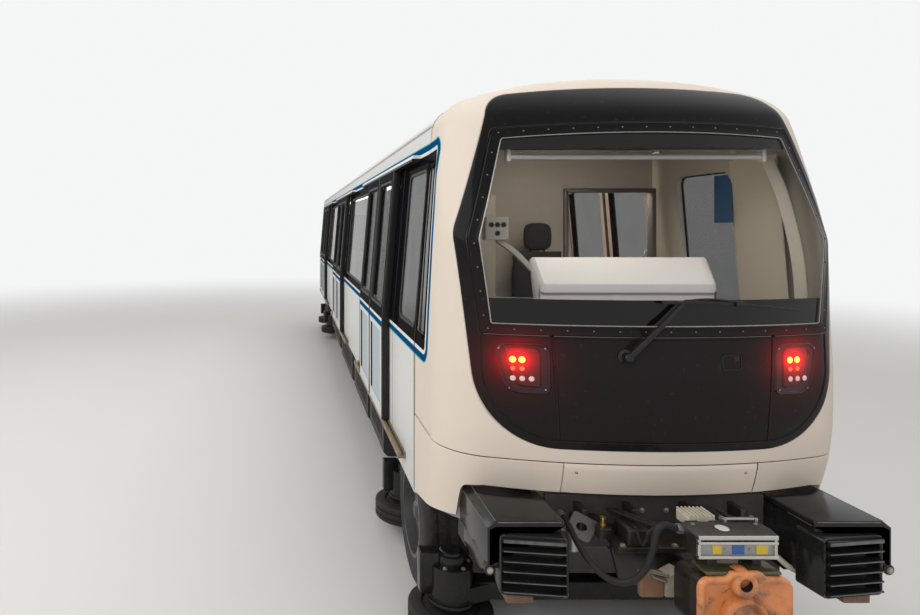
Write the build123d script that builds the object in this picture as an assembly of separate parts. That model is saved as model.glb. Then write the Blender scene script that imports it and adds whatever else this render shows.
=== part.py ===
from build123d import *
import functools
import math
import os

os.makedirs("parts", exist_ok=True)

# Light metro car on rubber tyres. Millimetres: X across, front at -Y, Z up from the running surface.

# Driving dimensions of the body
NOSE_Y = -6190.0
BODY_LENGTH = 12800.0
HALF_WIDTH = 1040.0
WAIST_Z = 1750.0
LEAN = 1.0 / 12.0
ROOF_TOP = 3310.0
ROOF_RADIUS = 2800.0
CANTRAIL_FILLET = 150.0
WALL = 40.0
FLOOR_TOP = 1000.0
FLOOR_BOTTOM = 940.0
SEAM = 840.0
CANTRAIL_BOTTOM = 2900.0
CANTRAIL_TOP = 3040.0
WINDOW_BOTTOM = 1860.0
WINDOW_TOP = 2820.0

# Front moulding
FRONT_RADIUS = 3000.0
CORNER_RADIUS = 300.0
NOSE_TRIM = 1.0
APRON_SEAM = 1330.0
SKIRT_BOTTOM = 850.0

# Doors
DOOR_FRONT = 1770.0
DOOR_PITCH = 3950.0
DOOR_WIDTH = 1500.0
DOOR_COUNT = 3
DOOR_TRAVEL = 650.0
DOOR_GAP = 10.0
DOOR_PROUD = 60.0
DOOR_THICK = 50.0
DOOR_BOTTOM = 1005.0
DOOR_TOP = 2896.0

# Running gear
AXLE_DEPTHS = {"front": 1400.0, "rear": 11520.0}
TYRE_RADIUS = 490.0
TYRE_WIDTH = 290.0
RIM_RADIUS = 300.0
TRACK_HALF = 810.0
STUB_RADIUS = 60.0
GUIDE_X = 857.0
GUIDE_REACH = 700.0
GUIDE_RADIUS = 245.0
GUIDE_WIDTH = 130.0
GUIDE_Z = 200.0
SPINDLE_RADIUS = 30.0
HUB_RADIUS = 130.0


def depth(d):
    return NOSE_Y + d


def block(x0, x1, d0, d1, z0, z1):
    centre = Pos((x0 + x1) / 2, depth((d0 + d1) / 2), (z0 + z1) / 2)
    return centre * Box(x1 - x0, d1 - d0, z1 - z0)


def along_y(outline, d0, d1):
    plane = Plane((0, depth(d0), 0), x_dir=(1, 0, 0), z_dir=(0, -1, 0))
    return extrude(plane * outline, amount=-(d1 - d0))


def along_x(outline, x0, x1):
    plane = Plane((x0, 0, 0), x_dir=(0, 1, 0), z_dir=(1, 0, 0))
    return extrude(plane * outline, amount=x1 - x0)


def upright(outline, z0, z1):
    return extrude(Plane.XY.offset(z0) * outline, amount=z1 - z0)


def rod(x, d, z, radius, length, axis="z"):
    turn = {"x": (0, 90, 0), "y": (90, 0, 0), "z": (0, 0, 0)}[axis]
    return Pos(x, depth(d), z) * Rot(*turn) * Cylinder(radius, length)


def mirrored(shape):
    return mirror(shape, about=Plane.YZ)


def both_sides(shape):
    return [shape, mirrored(shape)]


def polygon(points, radius=0.0):
    face = make_face(Polyline(*points, close=True))
    return fillet(face.vertices(), radius) if radius else face


def rectangle(x0, x1, z0, z1, radius=0.0):
    return polygon(((x0, z0), (x1, z0), (x1, z1), (x0, z1)), radius)


def save(node, *shapes):
    solids = [solid for shape in shapes for solid in shape.solids()]
    export_step(Compound(solids), f"parts/{node}.step")


def half_at(z):
    return HALF_WIDTH - max(0.0, z - WAIST_Z) * LEAN


# Cross-section of the body: upright to the waist, leaning in above it, arched roof
def section(inset, bottom=FLOOR_BOTTOM):
    half = HALF_WIDTH - inset
    radius = ROOF_RADIUS - inset
    centre = ROOF_TOP - ROOF_RADIUS
    a = 1 + LEAN ** 2
    rise = WAIST_Z - centre
    b = rise - LEAN * half
    t = (-b + math.sqrt(b * b - a * (half ** 2 + rise ** 2 - radius ** 2))) / a
    corner = (half - LEAN * t, WAIST_Z + t)
    left = (-corner[0], corner[1])
    walls = Polyline(left, (-half, WAIST_Z), (-half, bottom), (half, bottom), (half, WAIST_Z), corner)
    roof = ThreePointArc(corner, (0, centre + radius), left)
    face = make_face(walls + roof)
    eaves = [v for v in face.vertices() if v.Y > WAIST_Z + 10]
    return fillet(eaves, CANTRAIL_FILLET - inset)


def ring(inset, thick, bottom, d0, d1):
    return along_y(section(inset, bottom), d0, d1) - along_y(section(inset + thick, bottom - 1), d0 - 1, d1 + 1)


# Plan outline of the nose at one height: wide front arc, rounded corners, straight sides
def nose_plan(z, setback, inset, back):
    half = half_at(z) - inset + NOSE_TRIM
    radius = FRONT_RADIUS - inset
    centre = depth(setback + FRONT_RADIUS)
    edge = centre - math.sqrt(radius ** 2 - half ** 2)
    front = ThreePointArc((-half, edge), (0, centre - radius), (half, edge))
    sides = Polyline((half, edge), (half, depth(back)), (-half, depth(back)), (-half, edge))
    face = make_face(front + sides)
    corners = [v for v in face.vertices() if v.Y < depth(back) - 1]
    return fillet(corners, CORNER_RADIUS - inset)


# The chin falls back below the mask and the windscreen rakes back above the widest point of the front.
# Columns: height, setback of the front
NOSE_STATIONS = (
    (700, 170), (1300, 25), (1600, 0), (2420, 12), (2950, 160), (3080, 210), (3160, 296), (3220, 385), (3270, 436),
    (3296, 482), (3320, 570),
)


@functools.cache
def nose(inset, back=1000.0):
    plans = [Plane.XY.offset(z) * nose_plan(z, setback, inset, back) for z, setback in NOSE_STATIONS]
    solid = loft([plan.face() for plan in plans], ruled=True)
    return solid & along_y(section(inset, 690), -600, back - 1)


# Front outlines, seen from ahead: half outline points with their corner radii
def front_outline(points, crown):
    right = [(x, z) for x, z, r in points]
    left = [(-x, z) for x, z in reversed(right)]
    sides = Polyline(left[0], *left[1:], *right)
    top = ThreePointArc(right[-1], (0, crown), left[0])
    face = make_face(sides + top)
    for x, z, r in points:
        picked = [v for v in face.vertices() if abs(abs(v.X) - x) < 1 and abs(v.Y - z) < 1]
        if r:
            face = fillet(picked, r)
    return face


MASK_POINTS = ((845, 1400, 340), (958, 2450, 250), (735, 3185, 160))
FRAME_POINTS = ((857, 1950, 12), (908, 2420, 120), (758, 2985, 30))
GLASS_POINTS = ((809, 2000, 12), (860, 2417, 100), (719, 2932, 20))
MASK_CROWN = 3222.0
FRAME_CROWN = 3003.0
GLASS_CROWN = 2952.0
HATCH_POINTS = ((-500, 1444), (500, 1444), (530, 1938), (-530, 1938))
HATCH_GRIP = (266, 358, 1790, 1870)
LAMP_X, LAMP_Z = 670.0, 1780.0
LAMP_HOUSING = (240.0, 250.0, 50.0)
LAMP_LENS = (156.0, 200.0, 30.0)
COVER_HALF = 470.0
COVER_BOTTOM = 1165.0


def ahead(outline):
    return along_y(outline, -400, 700)


nose_outer = nose(0)
nose_inner = nose(WALL, 1100)
mask_prism = ahead(front_outline(MASK_POINTS, MASK_CROWN))
frame_prism = ahead(front_outline(FRAME_POINTS, FRAME_CROWN))
glass_prism = ahead(front_outline(GLASS_POINTS, GLASS_CROWN))
hatch_prism = ahead(polygon(HATCH_POINTS, 12))


def lamp_prism(sizes):
    w, h, r = sizes
    return ahead(rectangle(LAMP_X - w / 2, LAMP_X + w / 2, LAMP_Z - h / 2, LAMP_Z + h / 2, r))


housing_prism = lamp_prism(LAMP_HOUSING)
lens_prism = lamp_prism(LAMP_LENS)
shell_zone = block(-1200, 1200, -100, SEAM, APRON_SEAM, 3400)
cab_window = block(-1200, 1200, 560, 800, WINDOW_BOTTOM, WINDOW_TOP)

cab_shell = (nose_outer - nose_inner) & shell_zone
cab_shell = cab_shell - mask_prism - cab_window
save("cab_shell", cab_shell)

mask_skin = nose(-6) - nose(34, 1100)
cab_mask = (mask_skin & mask_prism) - frame_prism - hatch_prism - housing_prism - mirrored(housing_prism)
save("cab_mask", cab_mask)

hatch_grip = ahead(rectangle(*HATCH_GRIP, 10)) & block(-600, 600, -100, 40, 1400, 2000)
front_hatch = ((nose(-9) - nose(30, 1100)) & hatch_prism) - hatch_grip
save("front_hatch", front_hatch)

windscreen_frame = ((nose(-14) - nose(34, 1100)) & frame_prism) - glass_prism
save("windscreen_frame", windscreen_frame)

windscreen = (nose(-4) - nose(10, 1100)) & glass_prism
save("windscreen", windscreen)

lamp_housing = (nose(-12) - nose(90, 1100)) & housing_prism
lamp_housing = lamp_housing - ((nose(-30) - nose(60, 1100)) & lens_prism)
save("headlamp_housings", *both_sides(lamp_housing))

lamp_lens = (nose(-8) - nose(8, 1100)) & lens_prism
save("headlamp_lenses", *both_sides(lamp_lens))

# Apron below the seam, in a centre cover and two wings round to the sides
apron_zone = block(-1200, 1200, -100, SEAM, SKIRT_BOTTOM, APRON_SEAM)
WING_TIP_Z = 960.0
BAY_EDGE = 940.0
apron_skin = (nose_outer - nose_inner) & apron_zone
climber_cut = polygon(((COVER_HALF - 5, SKIRT_BOTTOM - 5), (BAY_EDGE + 30, SKIRT_BOTTOM - 5), (BAY_EDGE, 1150),
                       (COVER_HALF - 5, COVER_BOTTOM)))
climber_cut = fillet([v for v in climber_cut.vertices() if v.X > 600 and v.Y > 1000], 40)
skirt_line = polygon(((depth(-10), WING_TIP_Z + 60), (depth(250), WING_TIP_Z), (depth(SEAM), SKIRT_BOTTOM),
                      (depth(SEAM), APRON_SEAM), (depth(-10), APRON_SEAM)))
wing = (apron_skin & block(COVER_HALF, 1200, -10, SEAM, SKIRT_BOTTOM, APRON_SEAM) & along_x(skirt_line, 0, 1200))
wing = wing - along_y(climber_cut, -400, 420)
save("apron_wings", *both_sides(wing))

cover_prism = ahead(rectangle(-COVER_HALF, COVER_HALF, COVER_BOTTOM, APRON_SEAM))
cover_holes = [rod(x, 0, 1285, 9, 400, "y") for x in (-410, 410)]
coupler_cover = (apron_skin & cover_prism) - cover_holes
save("coupler_cover", coupler_cover)

# Side walls between the doors, with window openings; columns: start, end, bottom, window start, window end
PANELS = (
    (SEAM, 1820, SKIRT_BOTTOM, 880, 1400),
    (3220, 5770, FLOOR_BOTTOM, 3560, 5430),
    (7170, 9720, FLOOR_BOTTOM, 7510, 9380),
    (11120, 12760, FLOOR_BOTTOM, 11330, 12480),
)
walls = []
panes = [(nose(4) - nose(12, 1100)) & cab_window]
for start, end, bottom, window_start, window_end in PANELS:
    slab = ring(0, WALL, bottom, start, end) & block(0, 1200, start, end, bottom, CANTRAIL_BOTTOM)
    opening = along_x(rectangle(
        depth(window_start), depth(window_end), WINDOW_BOTTOM, WINDOW_TOP, 60), 700, 1200)
    walls.append(slab - opening)
    panes.append(ring(4, 8, bottom, start, end) & opening)
save("side_walls", *[s for wall in walls for s in both_sides(wall)])
side_panes = [panes[0]] + [s for pane in panes[1:] for s in both_sides(pane)]

cantrail = ring(0, WALL, FLOOR_BOTTOM, SEAM, BODY_LENGTH - WALL) & block(
    0, 1200, SEAM, BODY_LENGTH - WALL, CANTRAIL_BOTTOM, CANTRAIL_TOP)
save("cantrails", *both_sides(cantrail))

roof = ring(0, WALL, FLOOR_BOTTOM, SEAM, BODY_LENGTH - WALL) & block(
    -1200, 1200, SEAM, BODY_LENGTH - WALL, CANTRAIL_TOP, 3400)
save("roof", roof)

CEILING_Z = 3040.0
ceiling = block(-900, 900, SEAM + 20, BODY_LENGTH - WALL, CEILING_Z, CEILING_Z + 15)
save("ceiling", ceiling & along_y(section(WALL), SEAM, BODY_LENGTH))

# Rear end wall with its window
rear_opening = along_y(rectangle(-380, 380, WINDOW_BOTTOM, 2760, 60), BODY_LENGTH - 200, BODY_LENGTH + 50)
rear_outline = along_y(section(0), BODY_LENGTH - WALL, BODY_LENGTH)
save("rear_wall", rear_outline - rear_opening)
rear_pane = rear_opening & block(-400, 400, BODY_LENGTH - 24, BODY_LENGTH - 12, 1800, 2800)
save("saloon_windows", *side_panes, rear_pane)

# Floor with raised boxes over the tyres
WHEEL_BOX = (580.0, 1000.0, 340.0, 1090.0, 20.0)
box_x0, box_x1, box_half, box_top, box_wall = WHEEL_BOX
floor = block(-(HALF_WIDTH - WALL), HALF_WIDTH - WALL, SEAM, BODY_LENGTH - WALL, FLOOR_BOTTOM, FLOOR_TOP)
front_floor = nose(WALL) & block(-1200, 1200, 0, SEAM, FLOOR_BOTTOM, FLOOR_TOP)
climber_bay = block(540, 1100, -100, 310, 800, 1100)
for bay in both_sides(climber_bay):
    front_floor = front_floor - bay
floor = floor + front_floor
wheel_boxes = []
for d in AXLE_DEPTHS.values():
    box = block(box_x0, box_x1, d - box_half, d + box_half, FLOOR_BOTTOM, box_top)
    hollow = block(box_x0 + box_wall, box_x1 + 50, d - box_half + box_wall, d + box_half - box_wall,
                   FLOOR_BOTTOM - 10, box_top - box_wall)
    for side in both_sides(box):
        floor = floor - side
    wheel_boxes = wheel_boxes + both_sides(box - hollow)
save("floor", floor, *wheel_boxes)

# Door guide rails with a slot for the leaves, sills and headers, one set for each door and side
leaf_outer = HALF_WIDTH + DOOR_PROUD
SLOT = (1052.0, 1072.0, 972.0)
rail_outline = rectangle(HALF_WIDTH, leaf_outer - 10, 955, 995) - rectangle(SLOT[0], SLOT[1], SLOT[2], 996)
header_low, header_high = half_at(DOOR_TOP + 8), half_at(DOOR_TOP + 48)
header_outline = polygon(((header_low, DOOR_TOP + 8), (header_low + 58, DOOR_TOP + 8),
                          (header_high + 50, DOOR_TOP + 48), (header_high, DOOR_TOP + 48)))
door_tracks = []
for k in range(DOOR_COUNT):
    start = DOOR_FRONT + k * DOOR_PITCH
    end = start + DOOR_WIDTH
    sill = block(HALF_WIDTH - WALL, HALF_WIDTH, start + 50, end - 50, FLOOR_BOTTOM, FLOOR_TOP)
    door_tracks.append(along_y(rail_outline, start - DOOR_TRAVEL, end + DOOR_TRAVEL) + sill)
    door_tracks.append(along_y(header_outline, start - DOOR_TRAVEL, end + DOOR_TRAVEL))
save("door_rails", *[s for track in door_tracks for s in both_sides(track)])


# Door leaves: a framed leaf that follows the side, with its pane clear of the frame
def leaf(start, width):
    inner = leaf_outer - DOOR_THICK
    drop = (DOOR_TOP - WAIST_Z) * LEAN
    outline = polygon((
        (inner, DOOR_BOTTOM), (leaf_outer, DOOR_BOTTOM), (leaf_outer, WAIST_Z), (leaf_outer - drop, DOOR_TOP),
        (inner - drop, DOOR_TOP), (inner, WAIST_Z)))
    body = along_y(outline, start, start + width)
    opening = along_x(rectangle(
        depth(start + 70), depth(start + width - 70), WINDOW_BOTTOM, WINDOW_TOP, 50), 800, 1200)
    top_x = leaf_outer - 20 - (WINDOW_TOP - WAIST_Z) * LEAN
    bottom_x = leaf_outer - 20 - (WINDOW_BOTTOM - WAIST_Z) * LEAN
    glass_outline = polygon((
        (bottom_x, WINDOW_BOTTOM), (top_x, WINDOW_TOP), (top_x - 8, WINDOW_TOP), (bottom_x - 8, WINDOW_BOTTOM)))
    glass_zone = along_x(rectangle(
        depth(start + 71), depth(start + width - 71), WINDOW_BOTTOM + 1, WINDOW_TOP - 1, 49), 800, 1200)
    pane = along_y(glass_outline, start, start + width) & glass_zone
    recess = block(leaf_outer - 12, leaf_outer + 10, start + 90, start + width - 90, 1090, 1660)
    return body - opening - recess, pane


leaf_width = (DOOR_WIDTH - DOOR_GAP) / 2
for k in range(DOOR_COUNT):
    start = DOOR_FRONT + k * DOOR_PITCH
    for end_name, offset in (("front", 0.0), ("rear", leaf_width + DOOR_GAP)):
        frame, pane = leaf(start + offset, leaf_width)
        save(f"door_{k + 1}_{end_name}_leaf_left", frame, pane)
        save(f"door_{k + 1}_{end_name}_leaf_right", mirrored(frame), mirrored(pane))

# Underframe: sole beams that taper at both ends, headstocks, holed cross-members and the steering pivots
BEAM_INNER, BEAM_OUTER, BEAM_BOTTOM = 430.0, 550.0, 760.0
BEAM_FRONT, BEAM_REAR, BEAM_TAPER = 420.0, 12600.0, 260.0
CROSS_DEPTHS = (2700, 4300, 5900, 7500, 9100, 10300)
CROSS_HOLES = (-860, -740, -620, -310, -155, 0, 155, 310, 620, 740, 860)
beam_side = polygon((
    (depth(BEAM_FRONT), FLOOR_BOTTOM), (depth(BEAM_FRONT), FLOOR_BOTTOM - 70),
    (depth(BEAM_FRONT + BEAM_TAPER), BEAM_BOTTOM), (depth(BEAM_REAR - BEAM_TAPER), BEAM_BOTTOM),
    (depth(BEAM_REAR), FLOOR_BOTTOM - 70), (depth(BEAM_REAR), FLOOR_BOTTOM)))
cross_web = rectangle(-980, 980, 820, FLOOR_BOTTOM)
for x in CROSS_HOLES:
    cross_web = cross_web - Pos(x, (820 + FLOOR_BOTTOM) / 2) * Circle(34)
underframe = along_x(beam_side, BEAM_INNER, BEAM_OUTER)
underframe = underframe + mirrored(underframe)
underframe = underframe + block(-880, 880, 300, 440, 800, FLOOR_BOTTOM)
underframe = underframe + block(-540, 540, 115, 135, FLOOR_TOP, COVER_BOTTOM - 10)
underframe = underframe + block(-940, 940, 12560, 12740, 780, FLOOR_BOTTOM)
for d in CROSS_DEPTHS:
    underframe = underframe + along_y(cross_web, d - 50, d + 50)
PIVOT_RADIUS = 50.0
PIVOT_RING = 260.0
for d in AXLE_DEPTHS.values():
    underframe = underframe + block(-430, 430, d - 300, d + 300, 780, FLOOR_BOTTOM)
    underframe = underframe + rod(0, d, 760, PIVOT_RING, 60)
    underframe = underframe + rod(0, d, 690, PIVOT_RADIUS, 120)
save("underframe", underframe)

# Axle frames: axle tube, drive housing, motor, and a frame of deep side beams with arms to the guide wheels
FRAME_X = 430.0
FRAME_TOP = 420.0


def guide_arm(x, y):
    side = math.copysign(1, x)
    arm = polygon(((side * 640, y - 50), (side * 640, y + 50), (x, y + HUB_RADIUS), (x, y - HUB_RADIUS)))
    return upright(arm, 310, 400)


def axle_frame(d, toward):
    tube = rod(0, d, TYRE_RADIUS, 85, 1240, "x")
    stub = rod(0, d, TYRE_RADIUS, STUB_RADIUS, 2 * (TRACK_HALF + 60), "x")
    housing = rod(0, d, TYRE_RADIUS, 170, 360, "x")
    motor = rod(0, d + toward * 370, TYRE_RADIUS, 165, 520, "y")
    turret = rod(0, d, 672, PIVOT_RING, 104) + rod(0, d, 565, 150, 150)
    bore = rod(0, d, 700, PIVOT_RADIUS + 0.5, 200)
    reach = GUIDE_REACH + 40
    beam_side = polygon((
        (depth(d - reach), 330), (depth(d - 240), 270), (depth(d + 240), 270), (depth(d + reach), 330),
        (depth(d + reach), FRAME_TOP - 20), (depth(d + 130), FRAME_TOP), (depth(d + 90), 560), (depth(d - 90), 560),
        (depth(d - 130), FRAME_TOP), (depth(d - reach), FRAME_TOP - 20)))
    frame = turret + housing + motor + tube + stub
    for x in (-FRAME_X, FRAME_X):
        frame = frame + along_x(beam_side, x - 50, x + 50)
    for end in (-1, 1):
        y = d + end * GUIDE_REACH
        frame = frame + block(-700, 700, y - 50, y + 50, 310, 410)
        for x in (-GUIDE_X, GUIDE_X):
            frame = frame + guide_arm(x, depth(y))
            frame = frame + rod(x, y, 395, HUB_RADIUS, 230) + rod(x, y, 535, HUB_RADIUS - 40, 60)
            frame = frame + rod(x, y, 215, SPINDLE_RADIUS, 170)
            frame = frame + rod(x, y, 122, 50, 16)
    return frame - bore


save("front_axle_frame", axle_frame(AXLE_DEPTHS["front"], 1))
save("rear_axle_frame", axle_frame(AXLE_DEPTHS["rear"], -1))

# Tyres and rims: revolved half-sections, columns: offset across the wheel, radius
w = TYRE_WIDTH / 2
TYRE_SECTION = ((-w + 8, RIM_RADIUS), (-w, 345), (-w, 420), (-w + 18, 470), (-w + 45, TYRE_RADIUS),
                (w - 45, TYRE_RADIUS), (w - 18, 470), (w, 420), (w, 345), (w - 8, RIM_RADIUS))
RIM_SECTION = ((-w + 2, 268), (-w + 2, RIM_RADIUS), (w - 2, RIM_RADIUS), (w - 2, 276), (70, 262), (62, 130),
               (92, 118), (92, 0), (66, 0), (66, STUB_RADIUS + 0.5), (-30, STUB_RADIUS + 0.5), (-30, 118), (36, 130),
               (44, 268))


def revolved(points):
    face = make_face(Polyline(*points, close=True))
    return revolve(face, Axis.X)


tyre = revolved(TYRE_SECTION)
rim = revolved(RIM_SECTION)
for place, d in AXLE_DEPTHS.items():
    for side, x in (("left", 1), ("right", -1)):
        here = Pos(x * TRACK_HALF, depth(d), TYRE_RADIUS)
        save(f"{place}_tyre_{side}", here * (tyre if x > 0 else mirrored(tyre)))
        save(f"{place}_rim_{side}", here * (rim if x > 0 else mirrored(rim)))

# Guide wheels
guide = Cylinder(GUIDE_RADIUS, GUIDE_WIDTH)
guide = fillet(guide.edges().filter_by(GeomType.CIRCLE), 12) - Cylinder(SPINDLE_RADIUS + 0.5, GUIDE_WIDTH + 2)
for place, d in AXLE_DEPTHS.items():
    for end_name, end in (("leading", -1), ("trailing", 1)):
        for side, x in (("left", 1), ("right", -1)):
            at = Pos(x * GUIDE_X, depth(d + end * GUIDE_REACH), GUIDE_Z)
            save(f"{place}_{end_name}_guide_wheel_{side}", at * guide)

# Anti-climber boxes: housing back to the headstock with a ribbed buffer block on its face, turned outward
CLIMBER_X = 710.0
CLIMBER_TOP = 1130.0
CLIMBER_FACE = -170.0
CLIMBER_TURN = 11.0
HOUSING_INNER, HOUSING_OUTER = 560.0, 900.0
HOUSING_FACE = -115.0
BLOCK_WIDTH = 296.0
BLOCK_BOTTOM = 822.0
RIB_PITCH = 48.0
RIB_COUNT = 5
RIB_DEPTH = 30.0
RIB_NOSE = 12.0


def ribbed_block():
    top = BLOCK_BOTTOM + RIB_COUNT * RIB_PITCH + RIB_NOSE
    face = rectangle(0, 130, BLOCK_BOTTOM, top)
    for k in range(RIB_COUNT):
        z = BLOCK_BOTTOM + RIB_NOSE + k * RIB_PITCH
        face = face - polygon(((-1, z), (RIB_DEPTH, z + 8), (RIB_DEPTH, z + RIB_PITCH - RIB_NOSE - 6),
                               (-1, z + RIB_PITCH - RIB_NOSE)))
    plane = Plane((-BLOCK_WIDTH / 2 + 16, 0, 0), x_dir=(0, 1, 0), z_dir=(1, 0, 0))
    ribs = extrude(plane * face, amount=BLOCK_WIDTH - 32)
    for x in (-BLOCK_WIDTH / 2, BLOCK_WIDTH / 2 - 16):
        ribs = ribs + Pos(x + 8, 68, (BLOCK_BOTTOM + top) / 2) * Box(16, 124, top - BLOCK_BOTTOM)
    return Pos(CLIMBER_X, depth(CLIMBER_FACE), 0) * Rot(0, 0, CLIMBER_TURN) * ribs


def climber_housing():
    side = polygon(((depth(HOUSING_FACE), 930), (depth(HOUSING_FACE), CLIMBER_TOP - 26),
                    (depth(HOUSING_FACE + 24), CLIMBER_TOP), (depth(300), CLIMBER_TOP), (depth(300), 820),
                    (depth(40), 820)))
    housing = along_x(side, HOUSING_INNER, HOUSING_OUTER)
    outer_top = housing.edges().filter_by(Axis.Y).sort_by(Axis.Z)[-2:].sort_by(Axis.X)[-1]
    return chamfer(outer_top, 48)


save("anticlimbers", *both_sides(ribbed_block() + climber_housing()))

# Coupler: mechanical head, electric head over it, drawgear back to the headstock
HEAD_FACE = -510.0
HEAD_HALF, HEAD_BOTTOM, HEAD_TOP = 184.0, 755.0, 1090.0
BORE_Z = 1061.0
RIM = 20.0
POCKET = 26.0
plate = along_y(rectangle(-HEAD_HALF, HEAD_HALF, HEAD_BOTTOM, HEAD_TOP, 55), HEAD_FACE, HEAD_FACE + 60)
hump = rod(0, HEAD_FACE + 30, BORE_Z, 50, 60, "y")
pocket_face = Plane((0, depth(HEAD_FACE), 0), x_dir=(1, 0, 0), z_dir=(0, -1, 0)) * rectangle(
    -HEAD_HALF + RIM, HEAD_HALF - RIM, HEAD_BOTTOM + RIM, HEAD_TOP - RIM, 40)
pocket = extrude(pocket_face, amount=-POCKET, taper=20)
funnel = Pos(0, depth(HEAD_FACE + POCKET + 14), 900) * Rot(90, 0, 0) * Cone(55, 95, 30)
neck = along_y(rectangle(-130, 130, 800, 1030, 40), HEAD_FACE + 60, HEAD_FACE + 260)
horn_bore = rod(0, HEAD_FACE + 30, BORE_Z, 25, 100, "y")
coupler_head = (plate - pocket - funnel) + neck + hump - horn_bore
save("coupler_head", coupler_head)

# Electric head: box with a sloping lid, three face rails, two carrying cheeks and a junction block behind
LID_BOTTOM, LID_TOP = 1135.0, 1236.0
LID_FACE, LID_REAR = HEAD_FACE + 60, HEAD_FACE + 165
lid = along_x(polygon(((depth(LID_FACE), LID_BOTTOM), (depth(LID_FACE), LID_TOP), (depth(LID_FACE + 30), LID_TOP + 8),
                       (depth(LID_REAR), LID_TOP + 4), (depth(LID_REAR), LID_BOTTOM))), -163, 163)
RAIL_ZS = (1148.0, 1205.0, 1227.0)
electric = lid + block(-125, 0, LID_REAR, LID_REAR + 95, 1150, LID_TOP + 26)
for rail_z in RAIL_ZS:
    electric = electric + block(-160, 160, LID_FACE - 14, LID_FACE + 2, rail_z - 6, rail_z + 6)
for cheek in both_sides(block(70, 110, HEAD_FACE + 70, LID_REAR - 5, 1030, LID_BOTTOM)):
    electric = electric + cheek
save("electric_head", electric)

DRAWBAR_Z = 860.0
drawbar = rod(0, (HEAD_FACE + 260 + 300) / 2, DRAWBAR_Z, 75, 300 - HEAD_FACE - 260, "y")
rear_eye = block(-75, 75, BODY_LENGTH - 60, BODY_LENGTH + 150, DRAWBAR_Z - 45, DRAWBAR_Z + 45)
rear_eye = rear_eye - rod(0, BODY_LENGTH + 90, DRAWBAR_Z, 30, 200)
save("drawgear", drawbar, rear_eye)

# Air hose from the headstock to the coupler: a free hanging loop
HOSE_RADIUS = 14.0
HOSE_POINTS = (
    (-467, 112, 1062), (-467, 40, 1063), (-486, -60, 1052), (-478, -150, 1005), (-440, -222, 952), (-386, -268, 934),
    (-330, -312, 968), (-290, -338, 1050), (-272, -350, 1140), (-266, -352, 1200), (-238, -352, 1232),
    (-204, -352, 1222), (-168, -352, 1212),
)
route = Spline(*[(x, depth(d), z) for x, d, z in HOSE_POINTS])
hose = sweep(Plane(route @ 0, z_dir=route % 0) * Circle(HOSE_RADIUS), path=route)
save("air_hose", hose)

# Wiper: spindle cap, bent arm and a blade that follows the glass
PIVOT_X, PIVOT_Z = -223.0, 1853.0
ELBOW_X, ELBOW_Z = 52.0, 2126.0
TIP_X, TIP_Z = 330.0, 2114.0
arm = along_y(polygon((
    (PIVOT_X - 12, PIVOT_Z - 6), (PIVOT_X + 12, PIVOT_Z - 14), (ELBOW_X + 6, ELBOW_Z - 12), (TIP_X, TIP_Z - 8),
    (TIP_X, TIP_Z + 8), (ELBOW_X - 6, ELBOW_Z + 10))), -62, -46)
pivot = rod(PIVOT_X, -35.5, PIVOT_Z, 26, 53, "y")
blade_outline = polygon(((-45, 2112), (TIP_X, 2100), (660, 2066), (660, 2080), (TIP_X, 2120), (-45, 2126)))
blade = (nose(-40) - nose(-22, 1100)) & ahead(blade_outline)
link = block(TIP_X - 22, TIP_X + 18, -62, 10, TIP_Z - 16, TIP_Z + 16) - nose(-24)
save("wiper", arm + pivot + link + blade)

# Interior
partition_outline = polygon((
    (-960, FLOOR_TOP), (220, FLOOR_TOP), (220, 2730), (860, 2730), (860, 3035), (-860, 3035), (-930, 2900), (-990, 1800)))
partition = along_y(partition_outline, 1600, 1635) & along_y(section(WALL + 2), 1590, 1640)
partition = partition - block(-1000, -box_x0 + 1, 1000, 1800, 900, box_top + 1)
save("cab_partition", partition)

CONSOLE_FRONT, CONSOLE_TOP = 350.0, 2302.0
console_side = polygon(((depth(CONSOLE_FRONT), FLOOR_TOP), (depth(CONSOLE_FRONT), 2168),
                        (depth(CONSOLE_FRONT + 165), CONSOLE_TOP), (depth(CONSOLE_FRONT + 215), CONSOLE_TOP),
                        (depth(CONSOLE_FRONT + 215), 2240), (depth(CONSOLE_FRONT + 150), 2080),
                        (depth(CONSOLE_FRONT + 120), 1850), (depth(CONSOLE_FRONT + 120), FLOOR_TOP)))
console_plan = polygon(((-464, depth(CONSOLE_FRONT)), (478, depth(CONSOLE_FRONT)),
                        (552, depth(CONSOLE_FRONT + 215)), (-450, depth(CONSOLE_FRONT + 215))))
console = along_x(console_side, -470, 650) & upright(console_plan, FLOOR_TOP, CONSOLE_TOP)
gauge_arm = along_y(polygon(((-440, 2200), (-440, 2280), (-600, 2410), (-700, 2410), (-700, 2380))), 500, 540)
gauge_panel = block(-720, -592, 470, 550, 2400, 2532)
save("console", console + gauge_arm + gauge_panel)

seat_side = polygon(((depth(1290), 1430), (depth(980), 1430), (depth(980), 1490), (depth(1290), 1480),
                     (depth(1390), 2260), (depth(1450), 2250), (depth(1360), 1430)))
seat = along_x(seat_side, -270, 160) + rod(-55, 1170, 1215, 45, 430) + rod(-55, 1170, 1015, 150, 30)
headrest = along_y(rectangle(-160, 45, 2240, 2487, 30), 1400, 1450)
save("attendant_seat", seat + headrest)

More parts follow.
